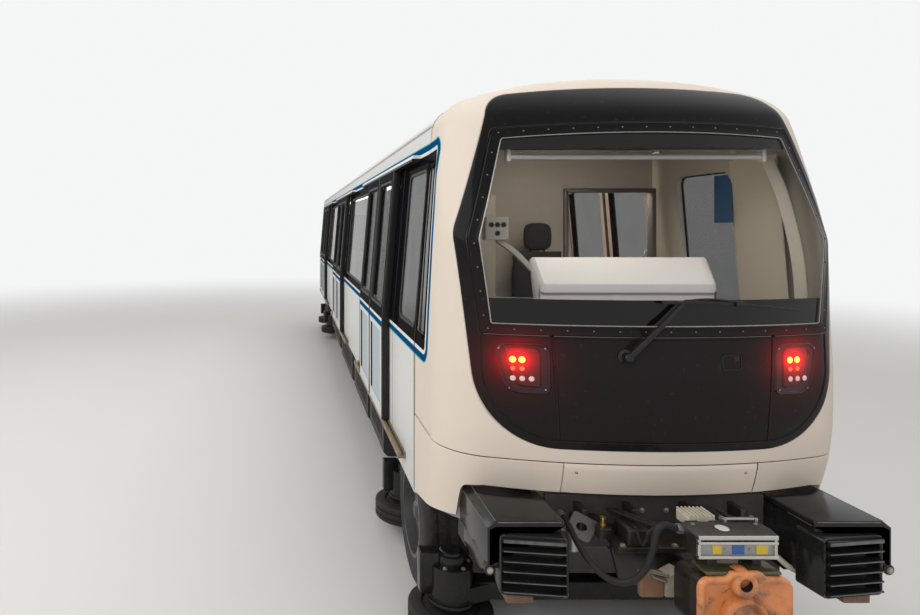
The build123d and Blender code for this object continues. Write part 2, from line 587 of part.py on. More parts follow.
BENCHES = ((3420, 5570), (7370, 9520), (11220, 12650))
SEAT_WIDTH = 430.0
SEAT_GROOVE = 12.0
seat_shell = polygon(((990, 1180), (560, 1180), (540, 1400), (552, 1442), (880, 1428), (925, 1800), (985, 1800)))
seat_scoop = polygon(((600, 1500), (620, 1424), (880, 1412), (900, 1440), (935, 1700), (900, 1760), (700, 1700)))
seats = []
for d0, d1 in BENCHES:
    bench = along_y(seat_shell, d0, d1) + block(700, 960, d0 + 200, d1 - 200, box_top, 1190)
    count = int((d1 - d0) // SEAT_WIDTH)
    for k in range(count):
        middle = (d0 + d1) / 2 + (k - (count - 1) / 2) * SEAT_WIDTH
        bench = bench - along_y(seat_scoop, middle - SEAT_WIDTH / 2 + SEAT_GROOVE, middle + SEAT_WIDTH / 2 - SEAT_GROOVE)
    seats.append(bench)
save("passenger_seats", *[s for bench in seats for s in both_sides(bench)])

poles = [rod(0, d, (FLOOR_TOP + CEILING_Z) / 2, 17, CEILING_Z - FLOOR_TOP) for d in (2520, 4495, 6470, 8445, 10420)]
save("grab_poles", *poles)

# Equipment under the floor; columns: x0, x1, d0, d1, z0, z1
EQUIPMENT = (
    (130, 940, 2750, 4200, 330, 760), (-940, -130, 2750, 3700, 360, 760), (-940, -300, 3900, 5300, 330, 760),
    (130, 940, 4450, 5700, 380, 760), (-940, -130, 5600, 7300, 330, 760), (200, 940, 6050, 7300, 350, 760),
    (130, 940, 7650, 9000, 330, 760), (-940, -130, 7650, 8900, 370, 760), (130, 900, 9250, 10200, 400, 760),
    (-900, -130, 9150, 10150, 340, 760),
)
FIN_PITCH = 90
boxes = []
for x0, x1, d0, d1, z0, z1 in EQUIPMENT:
    case = along_y(polygon(((x0, z1), (x0, z0 + 40), (x0 + 40, z0), (x1 - 40, z0), (x1, z0 + 40), (x1, z1))), d0, d1)
    outer, inner = (x1, x1 - 25) if x1 > 0 else (x0, x0 + 25)
    for k in range(int((d1 - d0 - 200) // FIN_PITCH)):
        slot = d0 + 120 + k * FIN_PITCH
        case = case - block(*sorted((outer + math.copysign(5, outer), inner)), slot, slot + 50, z0 + 120, z1 - 80)
    boxes.append(case)
save("underfloor_equipment", *boxes)
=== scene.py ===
"""Looks of a light metro car on rubber tyres: front moulding, mask, glazing, paint, doors, running gear, saloon.

Metres throughout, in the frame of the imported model: X across, front at -Y, Z up from the running surface.
"""

import math

import bmesh
import bpy
import numpy as np
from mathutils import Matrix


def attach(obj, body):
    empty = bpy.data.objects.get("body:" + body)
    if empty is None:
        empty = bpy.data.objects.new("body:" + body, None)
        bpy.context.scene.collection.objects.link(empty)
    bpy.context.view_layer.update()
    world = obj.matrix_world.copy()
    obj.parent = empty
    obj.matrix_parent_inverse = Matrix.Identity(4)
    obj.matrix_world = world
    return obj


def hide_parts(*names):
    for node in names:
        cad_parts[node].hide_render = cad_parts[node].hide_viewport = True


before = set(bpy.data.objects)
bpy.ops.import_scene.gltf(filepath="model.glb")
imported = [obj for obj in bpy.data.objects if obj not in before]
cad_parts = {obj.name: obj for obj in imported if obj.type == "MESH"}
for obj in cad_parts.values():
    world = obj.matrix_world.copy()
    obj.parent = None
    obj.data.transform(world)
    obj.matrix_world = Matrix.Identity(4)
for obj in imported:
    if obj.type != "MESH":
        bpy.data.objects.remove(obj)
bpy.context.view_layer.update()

# Driving sizes, as in the part
NOSE = -6.19
BODY_LENGTH = 12.8
HALF_WIDTH = 1.04
WAIST = 1.75
LEAN = 1 / 12
ROOF_TOP = 3.31
ROOF_RADIUS = 2.8
EAVE_RADIUS = 0.15
FRONT_RADIUS = 3.0
CORNER_RADIUS = 0.3
SHELL_REAR = 0.84
APRON_SEAM = 1.33
WINDOW_LOW, WINDOW_HIGH = 1.86, 2.82
DOOR_FRONT, DOOR_PITCH, DOOR_COUNT = 1.77, 3.95, 3
LEAF_WIDTH, LEAF_GAP = 0.745, 0.01
LEAF_PROUD, PANE_DEPTH = 0.06, (0.0185, 0.0295)
LEAF_LOW, LEAF_HIGH = 1.005, 2.896
AXLES = {"front": 1.4, "rear": 11.52}
TRACK_HALF, TYRE_RADIUS, TYRE_WIDTH, RIM_RADIUS = 0.81, 0.49, 0.29, 0.3
GUIDE_X, GUIDE_REACH, GUIDE_Z, GUIDE_RADIUS, GUIDE_WIDTH = 0.857, 0.7, 0.2, 0.245, 0.13
SIDES = {"left": 1, "right": -1}

# Colours, linear
IVORY = (0.69, 0.598, 0.507)
WHITE = (0.66, 0.66, 0.64)
LINING = (0.5, 0.47, 0.41)
DEEP_BLUE = (0.003, 0.07, 0.175)
CYAN = (0.1, 0.4, 0.5)
GLASS_BLACK = (0.006, 0.006, 0.007)


def at(depth):
    """Y of a place that many metres behind the middle of the nose."""
    return NOSE + depth


# ---- shader kit ----


def by(operation, swapped=False):
    """Method that puts a math node on a socket and a second value."""
    def method(self, other=0.0):
        first, second = (other, self) if swapped else (self, other)
        return self.shader.node("ShaderNodeMath", {"operation": operation}, {0: first, 1: second})
    return method


class Val:
    """A shader socket that takes part in arithmetic."""

    def __init__(self, shader, socket):
        self.shader, self.socket = shader, socket

    __add__ = __radd__ = by("ADD")
    __mul__ = __rmul__ = by("MULTIPLY")
    __sub__, __rsub__ = by("SUBTRACT"), by("SUBTRACT", True)
    __truediv__, __rtruediv__ = by("DIVIDE"), by("DIVIDE", True)
    greatest, least = by("MAXIMUM"), by("MINIMUM")
    size, root, sine = by("ABSOLUTE"), by("SQRT"), by("SINE")

    def beyond(self, edge, soft=0.001):
        """0 below the edge and 1 above it, with a soft step."""
        return self.shader.node("ShaderNodeMapRange", {"interpolation_type": "SMOOTHSTEP"},
            {"Value": self, "From Min": edge - soft, "From Max": edge + soft})

    def between(self, low, high, soft=0.001):
        """1 from a low edge to a high one, with soft steps."""
        return self.beyond(low, soft) * (1 - self.beyond(high, soft))


class Graph:
    """A node tree with one method that adds any node."""

    def __init__(self, owner):
        owner.use_nodes = True
        self.tree = owner.node_tree

    def put(self, socket, value):
        if isinstance(value, Val):
            self.tree.links.new(value.socket, socket)
        elif isinstance(value, tuple) and len(value) == 3 and len(socket.default_value) == 4:
            socket.default_value = (*value, 1.0)
        else:
            socket.default_value = value

    def node(self, kind, settings=(), inputs=(), output=0):
        made = self.tree.nodes.new(kind)
        for key, value in dict(settings).items():
            setattr(made, key, value)
        for key, value in dict(inputs).items():
            self.put(made.inputs[key], value)
        return Val(self, made.outputs[output])

    def seen(self):
        """Share of rays that come straight from the camera, a mirror or glass."""
        camera, glossy, glass_ray = (self.node("ShaderNodeLightPath", output=f"Is {kind} Ray")
            for kind in ("Camera", "Glossy", "Transmission"))
        return (camera + glossy + glass_ray).least(1.0)


SOCKETS = {"ior": "IOR", "specular": "Specular IOR Level"}


class Shader(Graph):
    """One finish: a Principled shader fed with colours and values worked out by nodes."""

    def __init__(self, name, **constants):
        self.material = bpy.data.materials.new(name)
        super().__init__(self.material)
        self.principled = self.tree.nodes["Principled BSDF"]
        for key, value in constants.items():
            self.principled.inputs[SOCKETS.get(key, key.replace("_", " ").title())].default_value = value

    def feed(self, **links):
        for key, value in links.items():
            self.put(self.principled.inputs[key.replace("_", " ").title()], value)
        return self.material

    def place(self):
        return self.node("ShaderNodeTexCoord", output="Object")

    def axes(self, vector=None):
        split = self.tree.nodes.new("ShaderNodeSeparateXYZ")
        self.put(split.inputs[0], vector or self.place())
        return [Val(self, out) for out in split.outputs]

    def facing(self):
        """How far the surface faces away from the middle plane: over 0 on the outside of a side."""
        across = self.axes(self.node("ShaderNodeNewGeometry", output="Normal"))[0]
        return across * self.axes()[0]

    def noise(self, scale, detail=3.0, rough=0.5, stretch=(1, 1, 1)):
        spot = self.node("ShaderNodeMapping", {}, {"Vector": self.place(), "Scale": stretch})
        return self.node("ShaderNodeTexNoise", {}, {"Vector": spot, "Scale": scale, "Detail": detail,
            "Roughness": rough})

    def mix(self, factor, first, second):
        made = self.tree.nodes.new("ShaderNodeMix")
        made.data_type = "RGBA"
        self.put(made.inputs[0], factor)
        self.put(made.inputs[6], first)
        self.put(made.inputs[7], second)
        return Val(self, made.outputs[2])

    def bump(self, height, strength=0.3, distance=0.001):
        return self.node("ShaderNodeBump", {}, {"Height": height, "Strength": strength, "Distance": distance})


# ---- shape kit ----


def round_angles(steps):
    """Even angles once round a circle."""
    return np.linspace(0, 2 * math.pi, steps, endpoint=False)


def side_normals(run):
    """Unit normals on the left of each step of a flat run."""
    return np.stack((-run[:, 1], run[:, 0]), 1) / np.maximum(np.hypot(*run.T), 1e-9)[:, None]


def grid_faces(rows, columns, close_columns=False, start=0):
    """Quads of a grid whose points are numbered row by row."""
    i, j = np.meshgrid(np.arange(rows - 1), np.arange(columns if close_columns else columns - 1), indexing="ij")
    i, j = i.ravel(), j.ravel()
    over = (j + 1) % columns
    return np.stack((i * columns + j, i * columns + over, (i + 1) * columns + over, (i + 1) * columns + j), 1) + start


MERGE = 1e-5


class Form:
    """Gathers grids and caps into one mesh."""

    def __init__(self):
        self.points, self.faces, self.count = [], [], 0

    def grid(self, points, close_columns=False, keep=None):
        points = np.asarray(points)
        rows, columns = points.shape[:2]
        quads = grid_faces(rows, columns, close_columns, self.count)
        self.faces.append(quads if keep is None else quads[keep.ravel()])
        self.points.append(points.reshape(-1, 3))
        self.count += rows * columns
        return self

    def cap(self, loop):
        self.faces.append((np.arange(len(loop)) + self.count)[None, :])
        self.points.append(loop)
        self.count += len(loop)
        return self

    def add(self, *others):
        for other in others:
            self.faces += [f + self.count for f in other.faces]
            self.points += other.points
            self.count += other.count
        return self

    def turned(self, axis, degrees, centre=(0, 0, 0)):
        """The form turned about an axis through a centre, by the right-hand rule."""
        a = math.radians(degrees)
        i, j = {"x": (1, 2), "y": (2, 0), "z": (0, 1)}[axis]
        turn = np.eye(3)
        turn[i, i] = turn[j, j] = math.cos(a)
        turn[j, i], turn[i, j] = math.sin(a), -math.sin(a)
        self.points = [(p - centre) @ turn.T + centre for p in self.points]
        return self

    def moved(self, x=0.0, y=0.0, z=0.0):
        self.points = [p + (x, y, z) for p in self.points]
        return self

    def flipped(self):
        """The form's image on the other side of the middle plane."""
        self.points = [p * (-1, 1, 1) for p in self.points]
        return self

    def copy(self):
        other = Form()
        other.points, other.faces, other.count = list(self.points), list(self.faces), self.count
        return other

    def both(self):
        return self.add(self.copy().flipped())

    def mesh(self, name, angle=35.0):
        """Mesh with touching points joined, faces turned outwards and edges over the angle kept sharp."""
        data = bpy.data.meshes.new(name)
        data.from_pydata(np.concatenate(self.points), [], [f for block in self.faces for f in block.tolist()])
        work = bmesh.new()
        work.from_mesh(data)
        bmesh.ops.remove_doubles(work, verts=work.verts, dist=MERGE)
        bmesh.ops.dissolve_degenerate(work, edges=work.edges, dist=MERGE)
        bmesh.ops.recalc_face_normals(work, faces=work.faces)
        work.to_mesh(data)
        work.free()
        data.shade_smooth()
        data.set_sharp_from_angle(angle=math.radians(angle))
        return data


def linked(name, data, *materials):
    """An object in the scene, with the materials it is given."""
    obj = bpy.data.objects.new(name, data)
    bpy.context.scene.collection.objects.link(obj)
    for material in materials:
        data.materials.append(material)
    return obj


def piece(name, form, material, body="car_body", stands_for=None, angle=35.0):
    """A form made into an object of the model, with its finish and body, and the nodes it stands for."""
    obj = linked(name, form.mesh(name, angle), material)
    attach(obj, body)
    if stands_for:
        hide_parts(stands_for)
    return obj


NEARLY_STRAIGHT = 1.55


def rounded(points, radii, steps=8):
    """Outline with its corners rounded: each corner is an arc tangent to the two sides that meet there."""
    points = np.asarray(points, float)
    radii = np.broadcast_to(radii, len(points))
    runs = []
    for here, before, after, radius in zip(points, np.roll(points, 1, 0), np.roll(points, -1, 0), radii):
        a, b = (before - here), (after - here)
        a, b = a / np.hypot(*a), b / np.hypot(*b)
        half = math.acos(np.clip(a @ b, -1, 1)) / 2
        if radius == 0 or half > NEARLY_STRAIGHT:
            runs.append(here[None])
            continue
        bisector = (a + b) / np.hypot(*(a + b))
        centre = here + bisector * radius / math.sin(half)
        foot_a, foot_b = here + a * radius / math.tan(half), here + b * radius / math.tan(half)
        start, end = np.arctan2(*(foot_a - centre)[::-1]), np.arctan2(*(foot_b - centre)[::-1])
        turn = (end - start + math.pi) % (2 * math.pi) - math.pi
        angle = start + turn * np.linspace(0, 1, steps)
        runs.append(centre + radius * np.stack((np.cos(angle), np.sin(angle)), 1))
    return np.concatenate(runs)


def rectangle(x0, x1, z0, z1, radius=0.0, steps=6):
    """Rectangle with rounded corners."""
    return rounded(((x0, z0), (x1, z0), (x1, z1), (x0, z1)), radius, steps)


def inset(outline, amount):
    """Outline moved inwards along the mean of its two side normals."""
    run = np.roll(outline, -1, 0) - np.roll(outline, 1, 0)
    x, z = outline.T
    spin = np.sign((x * np.roll(z, -1) - np.roll(x, -1) * z).sum())
    return outline + side_normals(run) * amount * spin


def stepped(outline, *steps):
    """Copies of an outline, each drawn in by an amount and given a height."""
    return [(inset(outline, drawn), height) for drawn, height in steps]


def slab(outline, low, high, axis, bevel=0.003):
    """Prism of an outline with rounded ends: the outline is carried along the axis and drawn in at both ends."""
    order = {"x": (2, 0, 1), "y": (0, 2, 1), "z": (0, 1, 2)}[axis]
    swing = np.linspace(0, math.pi / 2, 4)
    steps = [(bevel * (1 - math.sin(a)), low + bevel * (1 - math.cos(a))) for a in swing]
    steps += [(bevel * (1 - math.cos(a)), high - bevel * (1 - math.sin(a))) for a in swing]
    outline = np.asarray(outline, float)
    loops = [np.column_stack((inset(outline, drawn), np.full(len(outline), level)))[:, order]
        for drawn, level in steps]
    return Form().grid(loops, close_columns=True).cap(loops[0]).cap(loops[-1])


def box(x0, x1, front, rear, z0, z1, bevel=0.004):
    """Block with all its edges rounded, its front and rear measured behind the nose."""
    return slab(rectangle(x0, x1, at(front), at(rear), bevel * 1.2, 4), z0, z1, "z", bevel)


def route(*points):
    """Points of (across, depth behind the nose, height), in the frame."""
    return np.array([(x, at(depth), z) for x, depth, z in points])


def stood(flat, depth):
    """(x, z) points stood upright across the car at one place behind the nose."""
    return np.column_stack((flat[:, 0], np.full(len(flat), at(depth)), flat[:, 1]))


def laid(flat, z):
    """(x, y) points laid level at one height."""
    return np.column_stack((flat, np.full(len(flat), z)))


def mirrored_run(half):
    """Right half of a cross-section, from its foot to the crown, with its image carried on down the left."""
    return np.concatenate((half, half[-2::-1] * (-1, 1)))


def boxes(*rows):
    """Several boxes in one form."""
    return Form().add(*(box(*row) for row in rows))


def lathe(profile, centre, axis, steps=48):
    """Profile of (along, radius) points carried round an axis."""
    along, radius = np.asarray(profile, float).T
    angle = round_angles(steps)
    a = np.repeat(along[:, None], steps, 1)
    c, s = radius[:, None] * np.cos(angle), radius[:, None] * np.sin(angle)
    stack = {"x": (a, c, s), "y": (c, a, s), "z": (c, s, a)}[axis]
    return Form().grid(np.stack(stack, -1) + np.asarray(centre), close_columns=True)


def carried(profile, path, up=(0, 0, 1), scale=None):
    """Closed profile of (across, up) points carried along a path, square to its run."""
    path = np.asarray(path, float)
    run = np.gradient(path, axis=0)
    run /= np.linalg.norm(run, axis=1)[:, None]
    side = np.cross(run, np.asarray(up, float))
    side /= np.linalg.norm(side, axis=1)[:, None]
    rise = np.cross(side, run)
    grow = np.ones(len(path)) if scale is None else np.asarray(scale, float)
    flat = np.asarray(profile, float)[None] * grow[:, None, None]
    ring = path[:, None] + flat[..., :1] * side[:, None] + flat[..., 1:] * rise[:, None]
    return Form().grid(ring, close_columns=True).cap(ring[0]).cap(ring[-1])


def disc(radius, steps=12):
    """Even points round a circle."""
    angle = round_angles(steps)
    return radius * np.stack((np.cos(angle), np.sin(angle)), 1)


def tube(path, radius, steps=12):
    """Round section carried along a path."""
    run = np.asarray(path[-1], float) - np.asarray(path[0], float)
    up = (1, 0, 0) if abs(run[2]) > 0.8 * np.linalg.norm(run) else (0, 0, 1)
    return carried(disc(radius, steps), path, up)


def eased(points, steps=10):
    """Smooth run through a few points: a Catmull-Rom curve, each span a cubic of its four nearest points."""
    p = np.asarray(points, float)
    p = np.concatenate((2 * p[:1] - p[1:2], p, 2 * p[-1:] - p[-2:-1]))
    t = np.linspace(0, 1, steps, endpoint=False)[None, :, None]
    a, b, c, d = (p[k:len(p) - 3 + k, None] for k in range(4))
    run = 0.5 * (2 * b + (c - a) * t + (2 * a - 5 * b + 4 * c - d) * t ** 2 + (3 * b - a - 3 * c + d) * t ** 3)
    return np.concatenate((run.reshape(-1, p.shape[1]), p[-2:-1]))


def bolt(centre, axis, radius=0.009, height=0.006, outward=1):
    """Hexagon head on a washer, drawn as a six-sided lathe on a round one."""
    h = height * outward
    washer = lathe(((0, 0), (0, radius * 1.35), (h * 0.25, radius * 1.35), (h * 0.25, 0)), centre, axis, 14)
    head = lathe(((h * 0.2, 0), (h * 0.2, radius), (h * 0.85, radius), (h, radius * 0.8), (h, 0)), centre, axis, 6)
    return washer.add(head)


# ---- front surface ----

# Columns: height, setback of the front
SETBACK = np.array(((0.7, 0.23), (0.85, 0.17), (1.0, 0.12), (1.13, 0.075), (1.2, 0.053), (1.27, 0.032), (1.33, 0.02),
    (1.45, 0.005), (1.6, 0.0), (1.75, 0.0), (1.93, 0.008), (2.4, 0.012), (2.6, 0.062), (2.8, 0.12), (2.96, 0.164),
    (3.05, 0.195), (3.08, 0.21), (3.16, 0.296), (3.22, 0.385), (3.27, 0.436), (3.296, 0.482), (3.32, 0.57)))
# Columns: height, how far the moulding stands fuller than the body section behind it
SWELL = np.array(((1.75, 0), (2.0, 0.011), (2.45, 0.026), (2.76, 0.032), (2.9, 0.026), (3.05, 0.018), (3.2, 0.006),
    (3.31, 0)))
# Radius of the moulding's round edge at the roof, the height it starts at and the height it takes to grow
EAVE_ROUND, ROUND_FROM, ROUND_OVER = 0.05, 2.85, 0.25
SPREAD = np.linspace(-0.03, 0.03, 7)


def half_width(z):
    """Half width of the body at a height: upright up to the waist, leaning in above it."""
    return HALF_WIDTH - np.maximum(0, z - WAIST) * LEAN


def swell(z):
    """How much fuller the moulding stands than the body at a height."""
    return np.interp(z, *SWELL.T)


def setback(z):
    """Setback of the front at a height, smoothed over a short span."""
    return np.mean([np.interp(np.asarray(z, float) + s, *SETBACK.T) for s in SPREAD], axis=0)


def front_y(x, z, proud=0.0):
    """Y of the front skin: a wide arc in plan set back with height, a rounded corner, and a rounded roof edge.

    proud moves the skin forward.
    """
    x, z = np.abs(np.asarray(x, float)), np.asarray(z, float)
    centre = setback(z) + FRONT_RADIUS
    width = half_width(z) + swell(z)
    corner_x = width - CORNER_RADIUS
    corner_y = centre - np.sqrt((FRONT_RADIUS - CORNER_RADIUS) ** 2 - corner_x ** 2)
    tangent = corner_x * FRONT_RADIUS / (FRONT_RADIUS - CORNER_RADIUS)
    face = centre - np.sqrt(np.maximum(FRONT_RADIUS ** 2 - x ** 2, 0))
    corner = corner_y - np.sqrt(np.maximum(CORNER_RADIUS ** 2 - (x - corner_x) ** 2, 0))
    y = np.where(x > tangent, corner, face)
    to_roof = ROOF_RADIUS - np.hypot(x, z - (ROOF_TOP - ROOF_RADIUS))
    to_side = (width - x) / math.hypot(1, LEAN)
    a, b = np.maximum(EAVE_RADIUS - to_roof, 0), np.maximum(EAVE_RADIUS - to_side, 0)
    inside = np.where(a > 0, EAVE_RADIUS - np.hypot(a, b), to_roof)
    lift = np.clip((z - ROUND_FROM) / ROUND_OVER, 0, 1)
    radius = EAVE_ROUND * lift * lift * (3 - 2 * lift) + 1e-6
    edge = np.clip(radius - inside, 0, radius)
    return at(y + radius - np.sqrt(np.maximum(radius ** 2 - edge ** 2, 0)) - proud)


def on_front(flat, proud=0.0):
    """(x, z) points laid on the front skin."""
    x, z = flat[..., 0], flat[..., 1]
    return np.stack((x, front_y(x, z, proud), z), -1)


def plan_curve(p, z, proud=0.0):
    """Right half of the skin's plan at a height: p 0 to 1 front arc, 1 to 2 corner arc, 2 to 3 side to the seam."""
    p, z = np.broadcast_arrays(np.asarray(p, float), np.asarray(z, float))
    centre = setback(z) + FRONT_RADIUS
    corner_x = HALF_WIDTH - CORNER_RADIUS
    sweep = np.arcsin(corner_x / (FRONT_RADIUS - CORNER_RADIUS))
    corner_y = centre - np.sqrt((FRONT_RADIUS - CORNER_RADIUS) ** 2 - corner_x ** 2)
    a = np.clip(p, 0, 1) * sweep
    b = sweep + np.clip(p - 1, 0, 1) * (math.pi / 2 - sweep)
    big, small = FRONT_RADIUS + proud, CORNER_RADIUS + proud
    front = np.stack((big * np.sin(a), centre - big * np.cos(a)), -1)
    corner = np.stack((corner_x + small * np.sin(b), corner_y - small * np.cos(b)), -1)
    side = np.stack((np.full(p.shape, HALF_WIDTH + proud), corner_y + (p - 2) * (SHELL_REAR - corner_y)), -1)
    flat = np.where(p[..., None] <= 1, front, np.where(p[..., None] <= 2, corner, side))
    return np.stack((flat[..., 0], at(flat[..., 1]), z), -1)


def eave_centre():
    """Centre of the arc that joins the leaning side and the roof: one radius inside both."""
    start = HALF_WIDTH + WAIST * LEAN - EAVE_RADIUS * math.hypot(1, LEAN)
    low, reach = ROOF_TOP - ROOF_RADIUS, ROOF_RADIUS - EAVE_RADIUS
    a, b, c = 1 + LEAN ** 2, start * LEAN + low, start ** 2 + low ** 2 - reach ** 2
    z = (b + math.sqrt(b * b - a * c)) / a
    return start - LEAN * z, z


def section_side(low, steps=40):
    """Right half of the body's cross-section from low up to the crown: wall, lean, eave arc and roof arc."""
    eave_x, eave_z = eave_centre()
    lean_angle = math.atan(LEAN)
    roof_angle = math.atan2(eave_z - (ROOF_TOP - ROOF_RADIUS), eave_x)
    wall = np.column_stack((np.full(steps // 2, HALF_WIDTH), np.linspace(low, WAIST, steps // 2)))
    z = np.linspace(WAIST, eave_z + EAVE_RADIUS * math.sin(lean_angle), steps)[1:-1]
    lean = np.column_stack((half_width(z), z))
    turn = np.linspace(lean_angle, roof_angle, steps // 2)
    eave = np.column_stack((eave_x + EAVE_RADIUS * np.cos(turn), eave_z + EAVE_RADIUS * np.sin(turn)))
    rise = np.linspace(roof_angle, math.pi / 2, steps)[1:]
    roof = ROOF_RADIUS * np.column_stack((np.cos(rise), np.sin(rise))) + (0, ROOF_TOP - ROOF_RADIUS)
    return np.concatenate((wall, lean, eave, roof))


def front_outline(points, radii, crown, steps=10):
    """Closed outline seen from ahead: right-hand corners, mirrored, with an arched top edge."""
    right = np.array(points, float)
    top_x, top_z = right[-1]
    radius = (top_x ** 2 + (crown - top_z) ** 2) / (2 * (crown - top_z))
    swing = np.linspace(math.asin(top_x / radius), -math.asin(top_x / radius), 13)[1:-1]
    arch = np.column_stack((radius * np.sin(swing), crown - radius + radius * np.cos(swing)))
    left = right[::-1] * (-1, 1)
    return rounded(np.concatenate((right, arch, left)), list(radii) + [0] * len(arch) + list(radii)[::-1], steps)


MASK = front_outline(((0.857, 1.4), (0.962, 2.45), (0.737, 3.187)), (0.4, 0.25, 0.17), 3.222, 24)
FRAME = front_outline(((0.857, 1.95), (0.908, 2.42), (0.758, 2.985)), (0.012, 0.12, 0.03), 3.003, 14)
GLASS = front_outline(((0.809, 2.0), (0.86, 2.417), (0.719, 2.932)), (0.012, 0.1, 0.02), 2.952, 14)
EYE = (0.0, 2.45)


def by_angle(outline, angles, centre=EYE):
    """Points of a star-shaped outline at given angles about a centre, interpolated along its edge."""
    offset = outline - centre
    turn = np.arctan2(offset[:, 1], offset[:, 0])
    order = np.argsort(turn)
    turn, offset = turn[order], offset[order]
    turn = np.concatenate((turn[-1:] - 2 * math.pi, turn, turn[:1] + 2 * math.pi))
    offset = np.concatenate((offset[-1:], offset, offset[:1]))
    wrapped = (angles + math.pi) % (2 * math.pi) - math.pi
    k = np.clip(np.searchsorted(turn, wrapped) - 1, 0, len(turn) - 2)
    p, q = offset[k], offset[k + 1]
    ray = np.stack((np.cos(angles), np.sin(angles)), -1)
    side = q - p
    reach = (p[:, 0] * side[:, 1] - p[:, 1] * side[:, 0]) / (ray[:, 0] * side[:, 1] - ray[:, 1] * side[:, 0])
    return np.asarray(centre) + ray * reach[:, None]


def angles_of(*outlines, centre=EYE, spread=240):
    """All the corner angles of some outlines with an even spread between, sorted, for rings that keep corners."""
    turns = [np.arctan2(*(o - centre).T[::-1]) for o in outlines]
    every = np.sort(np.concatenate(turns + [np.linspace(-math.pi, math.pi, spread, endpoint=False)]))
    return every[np.concatenate(([True], np.diff(every) > 1e-4))]


def nested(steps, centre=EYE, close=False, spread=240, between=1):
    """Rings of (outline, proud) laid on the front one inside the other and joined, the last closed if asked."""
    angles = angles_of(*[outline for outline, _ in steps], centre=centre, spread=spread)
    rows = []
    for k, (outline, proud) in enumerate(steps):
        flat = by_angle(outline, angles, centre)
        if k:
            share = np.linspace(0, 1, between + 1)[1:-1, None, None]
            rows.extend(on_front(last + (flat - last) * share, (last_proud + (proud - last_proud) * share)[..., 0]))
        rows.append(on_front(flat, proud))
        last, last_proud = flat, proud
    form = Form().grid(rows, close_columns=True)
    return form.cap(rows[-1]) if close else form


def shrunk(outline, share, centre=EYE):
    """An outline scaled towards a centre."""
    return np.asarray(centre) + (outline - centre) * share


def front_bead(path, profile, closed=False):
    """Narrow profile of (across, height) points carried along a path of (x, z) points on the front skin."""
    path = np.asarray(path, float)
    run = np.roll(path, -1, 0) - np.roll(path, 1, 0) if closed else np.gradient(path, axis=0)
    normal = side_normals(run)
    rows = [on_front(path + normal * across, height) for across, height in profile]
    if closed:
        rows = [np.concatenate((row, row[:1])) for row in rows]
    return Form().grid(np.array(rows).transpose(1, 0, 2))


def divided(points, steps=12):
    """Straight runs between points, each cut into even steps."""
    p = np.asarray(points, float)
    share = np.linspace(0, 1, steps, endpoint=False)[None, :, None]
    run = p[:-1, None] + (p[1:, None] - p[:-1, None]) * share
    return np.concatenate((run.reshape(-1, p.shape[1]), p[-1:]))


def front_studs(places, radius, height, proud):
    """Low domes on the front skin: each a half-round of rings drawn in to its top."""
    form = Form()
    swing = np.linspace(0, math.pi / 2, 5)[:-1, None]
    angle = round_angles(10)[None]
    for x, z in places:
        flat = np.stack((x + radius * np.cos(swing) * np.cos(angle), z + radius * np.cos(swing) * np.sin(angle)), -1)
        rows = on_front(flat, proud + height * np.sin(swing) * np.ones_like(angle))
        form.grid(rows, close_columns=True).cap(rows[-1])
    return form


def along_outline(outline, pitch):
    """Points spaced evenly round a closed outline."""
    loop = np.concatenate((outline, outline[:1]))
    reach = np.concatenate(([0], np.cumsum(np.hypot(*np.diff(loop, axis=0).T))))
    stops = np.linspace(0, reach[-1], int(reach[-1] / pitch), endpoint=False)
    return np.column_stack([np.interp(stops, reach, loop[:, k]) for k in (0, 1)])


# ---- paint ----

BAND_FRONT, BAND_LOW, BAND_HIGH = 0.48, 1.7, 2.992
BAND_CORNER = 0.1
BAND_NARROWING = 0.86
# How deep inside the band the cyan line, the blue stripe and the white line end
CYAN_END, BLUE_END, WHITE_END = 0.007, 0.048, 0.07
LINE_WHITE = (0.7, 0.68, 0.64)


def band_depth(shader):
    """How far inside the stripe's outer edge a point of the side lies: distance in a rounded rectangle.

    Along the car it is counted shorter, because the upright run of the stripes is wider.
    """
    _, y, z = shader.axes()
    rear = BODY_LENGTH + 2
    middle_y, reach_y = at((BAND_FRONT + rear) / 2), (rear - BAND_FRONT) / 2 * BAND_NARROWING - BAND_CORNER
    middle_z, reach_z = (BAND_LOW + BAND_HIGH) / 2, (BAND_HIGH - BAND_LOW) / 2 - BAND_CORNER
    over_y, over_z = (y - middle_y).size() * BAND_NARROWING - reach_y, (z - middle_z).size() - reach_z
    out_y, out_z = over_y.greatest(0.0), over_z.greatest(0.0)
    outside = (out_y * out_y + out_z * out_z).root()
    return BAND_CORNER - outside - over_y.greatest(over_z).least(0.0)


def striped(shader, ground, dirt):
    """Paint with the side stripes, a black window band, and soft road dirt low down.

    Gives the colour, and the shares of dirt, of the whole band and of its black.
    """
    depth = band_depth(shader)
    outside = shader.facing().beyond(0.02, 0.01)
    streaks = shader.noise(3.0, 5, 0.65, (6, 6, 0.7))
    z = shader.axes()[2]
    low = 1 - z.beyond(1.05, 0.35)
    worn = (low * 0.75 + 0.08) * streaks * dirt
    colour = shader.mix(worn, ground, (0.2, 0.18, 0.15))
    colour = shader.mix(shader.noise(1.7, 4, 0.6) * 0.08, colour, (0.5, 0.5, 0.5))
    colour = shader.mix(depth.between(0.0, CYAN_END) * outside, colour, CYAN)
    colour = shader.mix(depth.between(CYAN_END, BLUE_END) * outside, colour, DEEP_BLUE)
    colour = shader.mix(depth.between(BLUE_END, WHITE_END) * outside, colour, LINE_WHITE)
    black = depth.beyond(WHITE_END) * outside
    return shader.mix(black, colour, GLASS_BLACK), worn, depth.beyond(0.0) * outside, black


